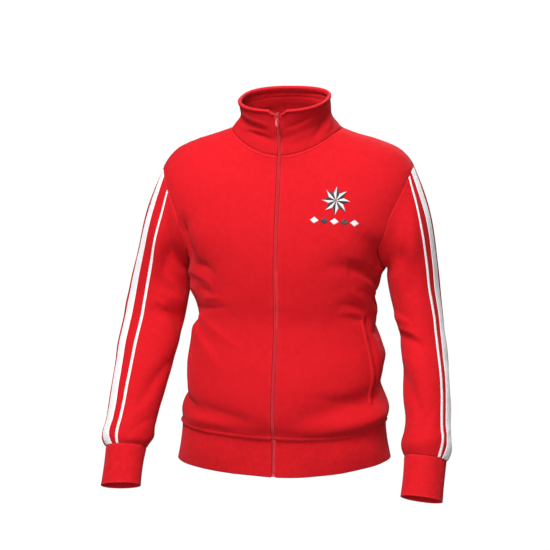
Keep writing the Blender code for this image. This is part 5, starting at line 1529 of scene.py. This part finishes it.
def tab_mesh():
    """The pull tab: a plate with an eye for the bridge, a waist and a recessed grip."""
    axis = SLIDER_MIDDLE + SLIDER_OUT * (SLIDER_SIZE[1] / 2 + TAB_AXIS_REACH)
    turn = np.linspace(0, TURN, 65)[:-1]
    s, c = np.sin(turn), np.cos(turn)

    def oval(half_width, half_height, middle, squareness_across, squareness_up):
        across = half_width * fuller(s, squareness_across)
        return list(zip(across, middle + half_height * fuller(c, squareness_up)))

    eye, wide = (value / 2 for value in TAB_WIDTHS)
    window, drop = TAB_WINDOW[0] / 2, TAB_WINDOW[1] / 2
    outline = oval(1, (TAB_BAR / 2 + TAB_LENGTH) / 2, (TAB_BAR / 2 - TAB_LENGTH) / 2, 0.5, 0.75)
    widening = [float(smooth_step((-z - TAB_WINDOW[1]) / 0.008)) for _, z in outline]
    outline = [(x * (eye + (wide - eye) * share), z) for (x, z), share in zip(outline, widening)]
    window = oval(window, drop, -TAB_BAR / 2 - drop, 0.6, 0.6)
    pit = oval(*TAB_PIT_HALF, TAB_PIT_MIDDLE, 0.7, 0.8)
    mesh = bmesh.new()

    def ring(shape, depth, scale=1.0):
        return [mesh.verts.new(axis + Vector((x * scale, -depth, z))) for x, z in shape]

    sides = []
    for way in (1, -1):
        half = way * TAB_THICK / 2
        face, hole, rim = ring(outline, half), ring(window, half), ring(pit, half)
        floor = ring(pit, way * (TAB_THICK / 2 - TAB_PIT_DEPTH), TAB_PIT_FLOOR)
        edges = [mesh.edges.new(pair) for loop in (face, hole, rim) for pair in pairs(loop)]
        bmesh.ops.triangle_fill(mesh, edges=edges, use_beauty=True)
        join_rings(mesh, rim, floor)
        mesh.faces.new(floor)
        sides.append((face, hole))
    for one, other in zip(*sides):
        join_rings(mesh, one, other)
    return mesh


hard_piece("pull_tab_plate", tab_mesh(), "pull_tab", "zip_pull_tab")

# ---------------------------------------------------------------- chest motif
# A small embroidered eight-point star with a row of five lozenges below it, on the wearer's left
# chest, in white and near-black thread. The stitches stand a little proud of the fleece.

MOTIF_PHI, MOTIF_Z, MOTIF_TILT = math.radians(22.5), -0.132, math.radians(-4.0)
STAR_POINTS, STAR_RADIUS, STAR_WAIST = 8, 0.0275, 0.0150
LOZENGE_HALF, LOZENGE_STEP, LOZENGE_DROP = (0.0086, 0.0064), 0.0190, 0.0395
THREAD_LIFT, THREAD_SUNK, THREAD_GAUGE = 0.0006, 0.0002, 0.00042
# each thread's second colour is painted shade for the grooves between its strands
THREAD_WHITE, THREAD_WHITE_GROOVE_SHADE = (0.88, 0.86, 0.87, 1), (0.70, 0.67, 0.69, 1)
THREAD_DARK, THREAD_DARK_GROOVE_SHADE = (0.030, 0.034, 0.045, 1), (0.012, 0.013, 0.018, 1)
KITE_STEPS, KITE_SHRINK, KITE_CROWN = 6, 0.97, 3.2  # grid steps, share of its full size, edge slope


def thread_material(name, light, dark):
    """Satin-stitched thread: fine parallel strands across each shape, and painted shade between them."""
    made, tree, shader = new_material(name, 0.42, Sheen_Weight=0.1, Specular_IOR_Level=0.5)
    cloth = node(tree, "ShaderNodeUVMap", uv_map="cloth").outputs[0]
    across = node(tree, "ShaderNodeSeparateXYZ", {0: cloth}).outputs[0]
    strand = math_node(tree, "SINE", math_node(tree, "MULTIPLY", across, TURN / THREAD_GAUGE))
    strand = math_node(tree, "MULTIPLY_ADD", strand, 0.5, 0.5)
    # painted shade: the colour darkens into the grooves between strands, where the relief is low
    paint(tree, shader, mixed_colour(tree, strand, dark, light), (strand, 0.7, 0.00015))
    return made


MOTIF_THREADS = {
    "white": thread_material("white_thread", THREAD_WHITE, THREAD_WHITE_GROOVE_SHADE),
    "dark": thread_material("dark_thread", THREAD_DARK, THREAD_DARK_GROOVE_SHADE),
}


def motif_kites(thread):
    """Corners, in (across, up), of the motif's kites in one thread."""
    kites = []
    for point in range(STAR_POINTS):
        tip = TURN * point / STAR_POINTS + math.pi / 2
        side = tip + (1 if thread == "white" else -1) * math.pi / STAR_POINTS
        a = np.array([math.cos(tip), math.sin(tip)]) * STAR_RADIUS
        b = np.array([math.cos(side), math.sin(side)]) * STAR_WAIST
        kites.append([np.zeros(2), b, a])
    w, h = LOZENGE_HALF
    for number in (-2, 0, 2) if thread == "white" else (-1, 1):
        middle = np.array([number * LOZENGE_STEP, -LOZENGE_DROP])
        kites.append([middle + corner for corner in ((-w, 0), (0, h), (w, 0), (0, -h))])
    return kites


def sew_kite(mesh, uv, corners, lay):
    """Adds one shape of satin stitches: a low crowned cushion with its rim down in the cloth. lay
    puts a point and a height onto the cloth."""
    middle = sum(corners) / len(corners)
    corners = [middle + (corner - middle) * KITE_SHRINK for corner in corners]
    lean = math.atan2(*(corners[0] - corners[-1])[::-1])
    turned = np.array([[math.cos(lean), math.sin(lean)], [-math.sin(lean), math.cos(lean)]])
    made, flat = {}, {}

    def vertex(a, b, i, j, sunk=False):
        p = middle + (a - middle) * (i / KITE_STEPS) + (b - middle) * (j / KITE_STEPS)
        key = (*np.round(p, 7), sunk)
        if key not in made:
            rim = 1 - (i + j) / KITE_STEPS
            crown = THREAD_LIFT * (0.35 + 0.65 * min(1.0, rim * KITE_CROWN) ** 0.5)
            made[key] = mesh.verts.new(lay(p, -THREAD_SUNK if sunk else crown))
            flat[made[key]] = turned @ p
        return made[key]

    for a, b in pairs(corners):
        for i in range(KITE_STEPS):
            end = KITE_STEPS - i
            rim = [(i + 1, end - 1, False), (i + 1, end - 1, True), (i, end, True), (i, end, False)]
            cells = [rim] + [[(i, j), (i + 1, j), (i, j + 1)] for j in range(end)]
            cells += [[(i + 1, j), (i + 1, j + 1), (i, j + 1)] for j in range(end - 1)]
            for cell in cells:
                for loop in mesh.faces.new([vertex(a, b, *corner) for corner in cell]).loops:
                    loop[uv].uv = flat[loop.vert]


def sew_motif():
    """The embroidery of each thread, laid square to the front at its middle."""
    drop = surface_reader("cloth_front_left")
    level = level_of_height(MOTIF_PHI, MOTIF_Z, "underarm", "shoulder_middle")
    centre = Vector(torso_form(MOTIF_PHI, level))
    out = Vector(normals_of(torso_form, MOTIF_PHI, level))
    across = Matrix.Rotation(MOTIF_TILT, 3, out) @ Vector((0, 0, 1)).cross(out).normalized()
    up = out.cross(across).normalized()

    def lay(p, height):
        return drop(centre + across * p[0] + up * p[1], out, 0.04) + out * height

    for thread, material in MOTIF_THREADS.items():
        mesh = bmesh.new()
        uv = mesh.loops.layers.uv.new("cloth")
        for corners in motif_kites(thread):
            sew_kite(mesh, uv, corners, lay)
        bmesh.ops.recalc_face_normals(mesh, faces=mesh.faces[:])
        data = bpy.data.meshes.new(f"embroidery_{thread}")
        mesh.to_mesh(data)
        mesh.free()
        data.materials.append(material)
        data.shade_smooth()
        belongs(put_in_scene(f"embroidery_{thread}", data))


sew_motif()

# ---------------------------------------------------------------- stitches
# Rows of lockstitch in polyester thread: red along the seams, the zip and the pockets, and white
# along the sleeve bands. Each stitch is a short plump length of thread lying in its groove.

STITCH_STEP, STITCH_LENGTH, STITCH_THICK = 0.0031, 0.0027, 0.00062
STITCH_LIFT = 0.15  # share of its thickness that a stitch stands up
STITCH_THREADS = {
    "red": ("red_thread", (0.74, 0.022, 0.034, 1), (0.60, 0.010, 0.018, 1)),
    "white": ("pale_thread", THREAD_WHITE, (0.74, 0.72, 0.73, 1)),
}


def stitch_tree():
    """Plump stitches laid end to end along a path."""
    tree, given = geometry_tree("lockstitch", *PATH_SIZES)
    bead = node(tree, "GeometryNodeMeshIcoSphere", {"Radius": 0.5, "Subdivisions": 1})
    return path_tree(tree, given, bead, node(tree, "GeometryNodeInputTangent").outputs[0], "X")


STITCHES = stitch_tree()
STITCH_SIZE = {"step": STITCH_STEP, "length": STITCH_LENGTH, "height": STITCH_THICK, "depth": STITCH_THICK}
for colour, thread in STITCH_THREADS.items():
    finish = speckled_material(*thread, roughness=0.5, grain=1500.0, bump=0.0001)
    rows = stitch_paths[colour]
    lifted = [(line + out * STITCH_THICK * STITCH_LIFT, out, closed) for line, out, closed in rows]
    thing = path_object(f"stitches_{colour}", lifted)
    shape_by(thing, STITCHES, finish, **STITCH_SIZE)
    belongs(thing)
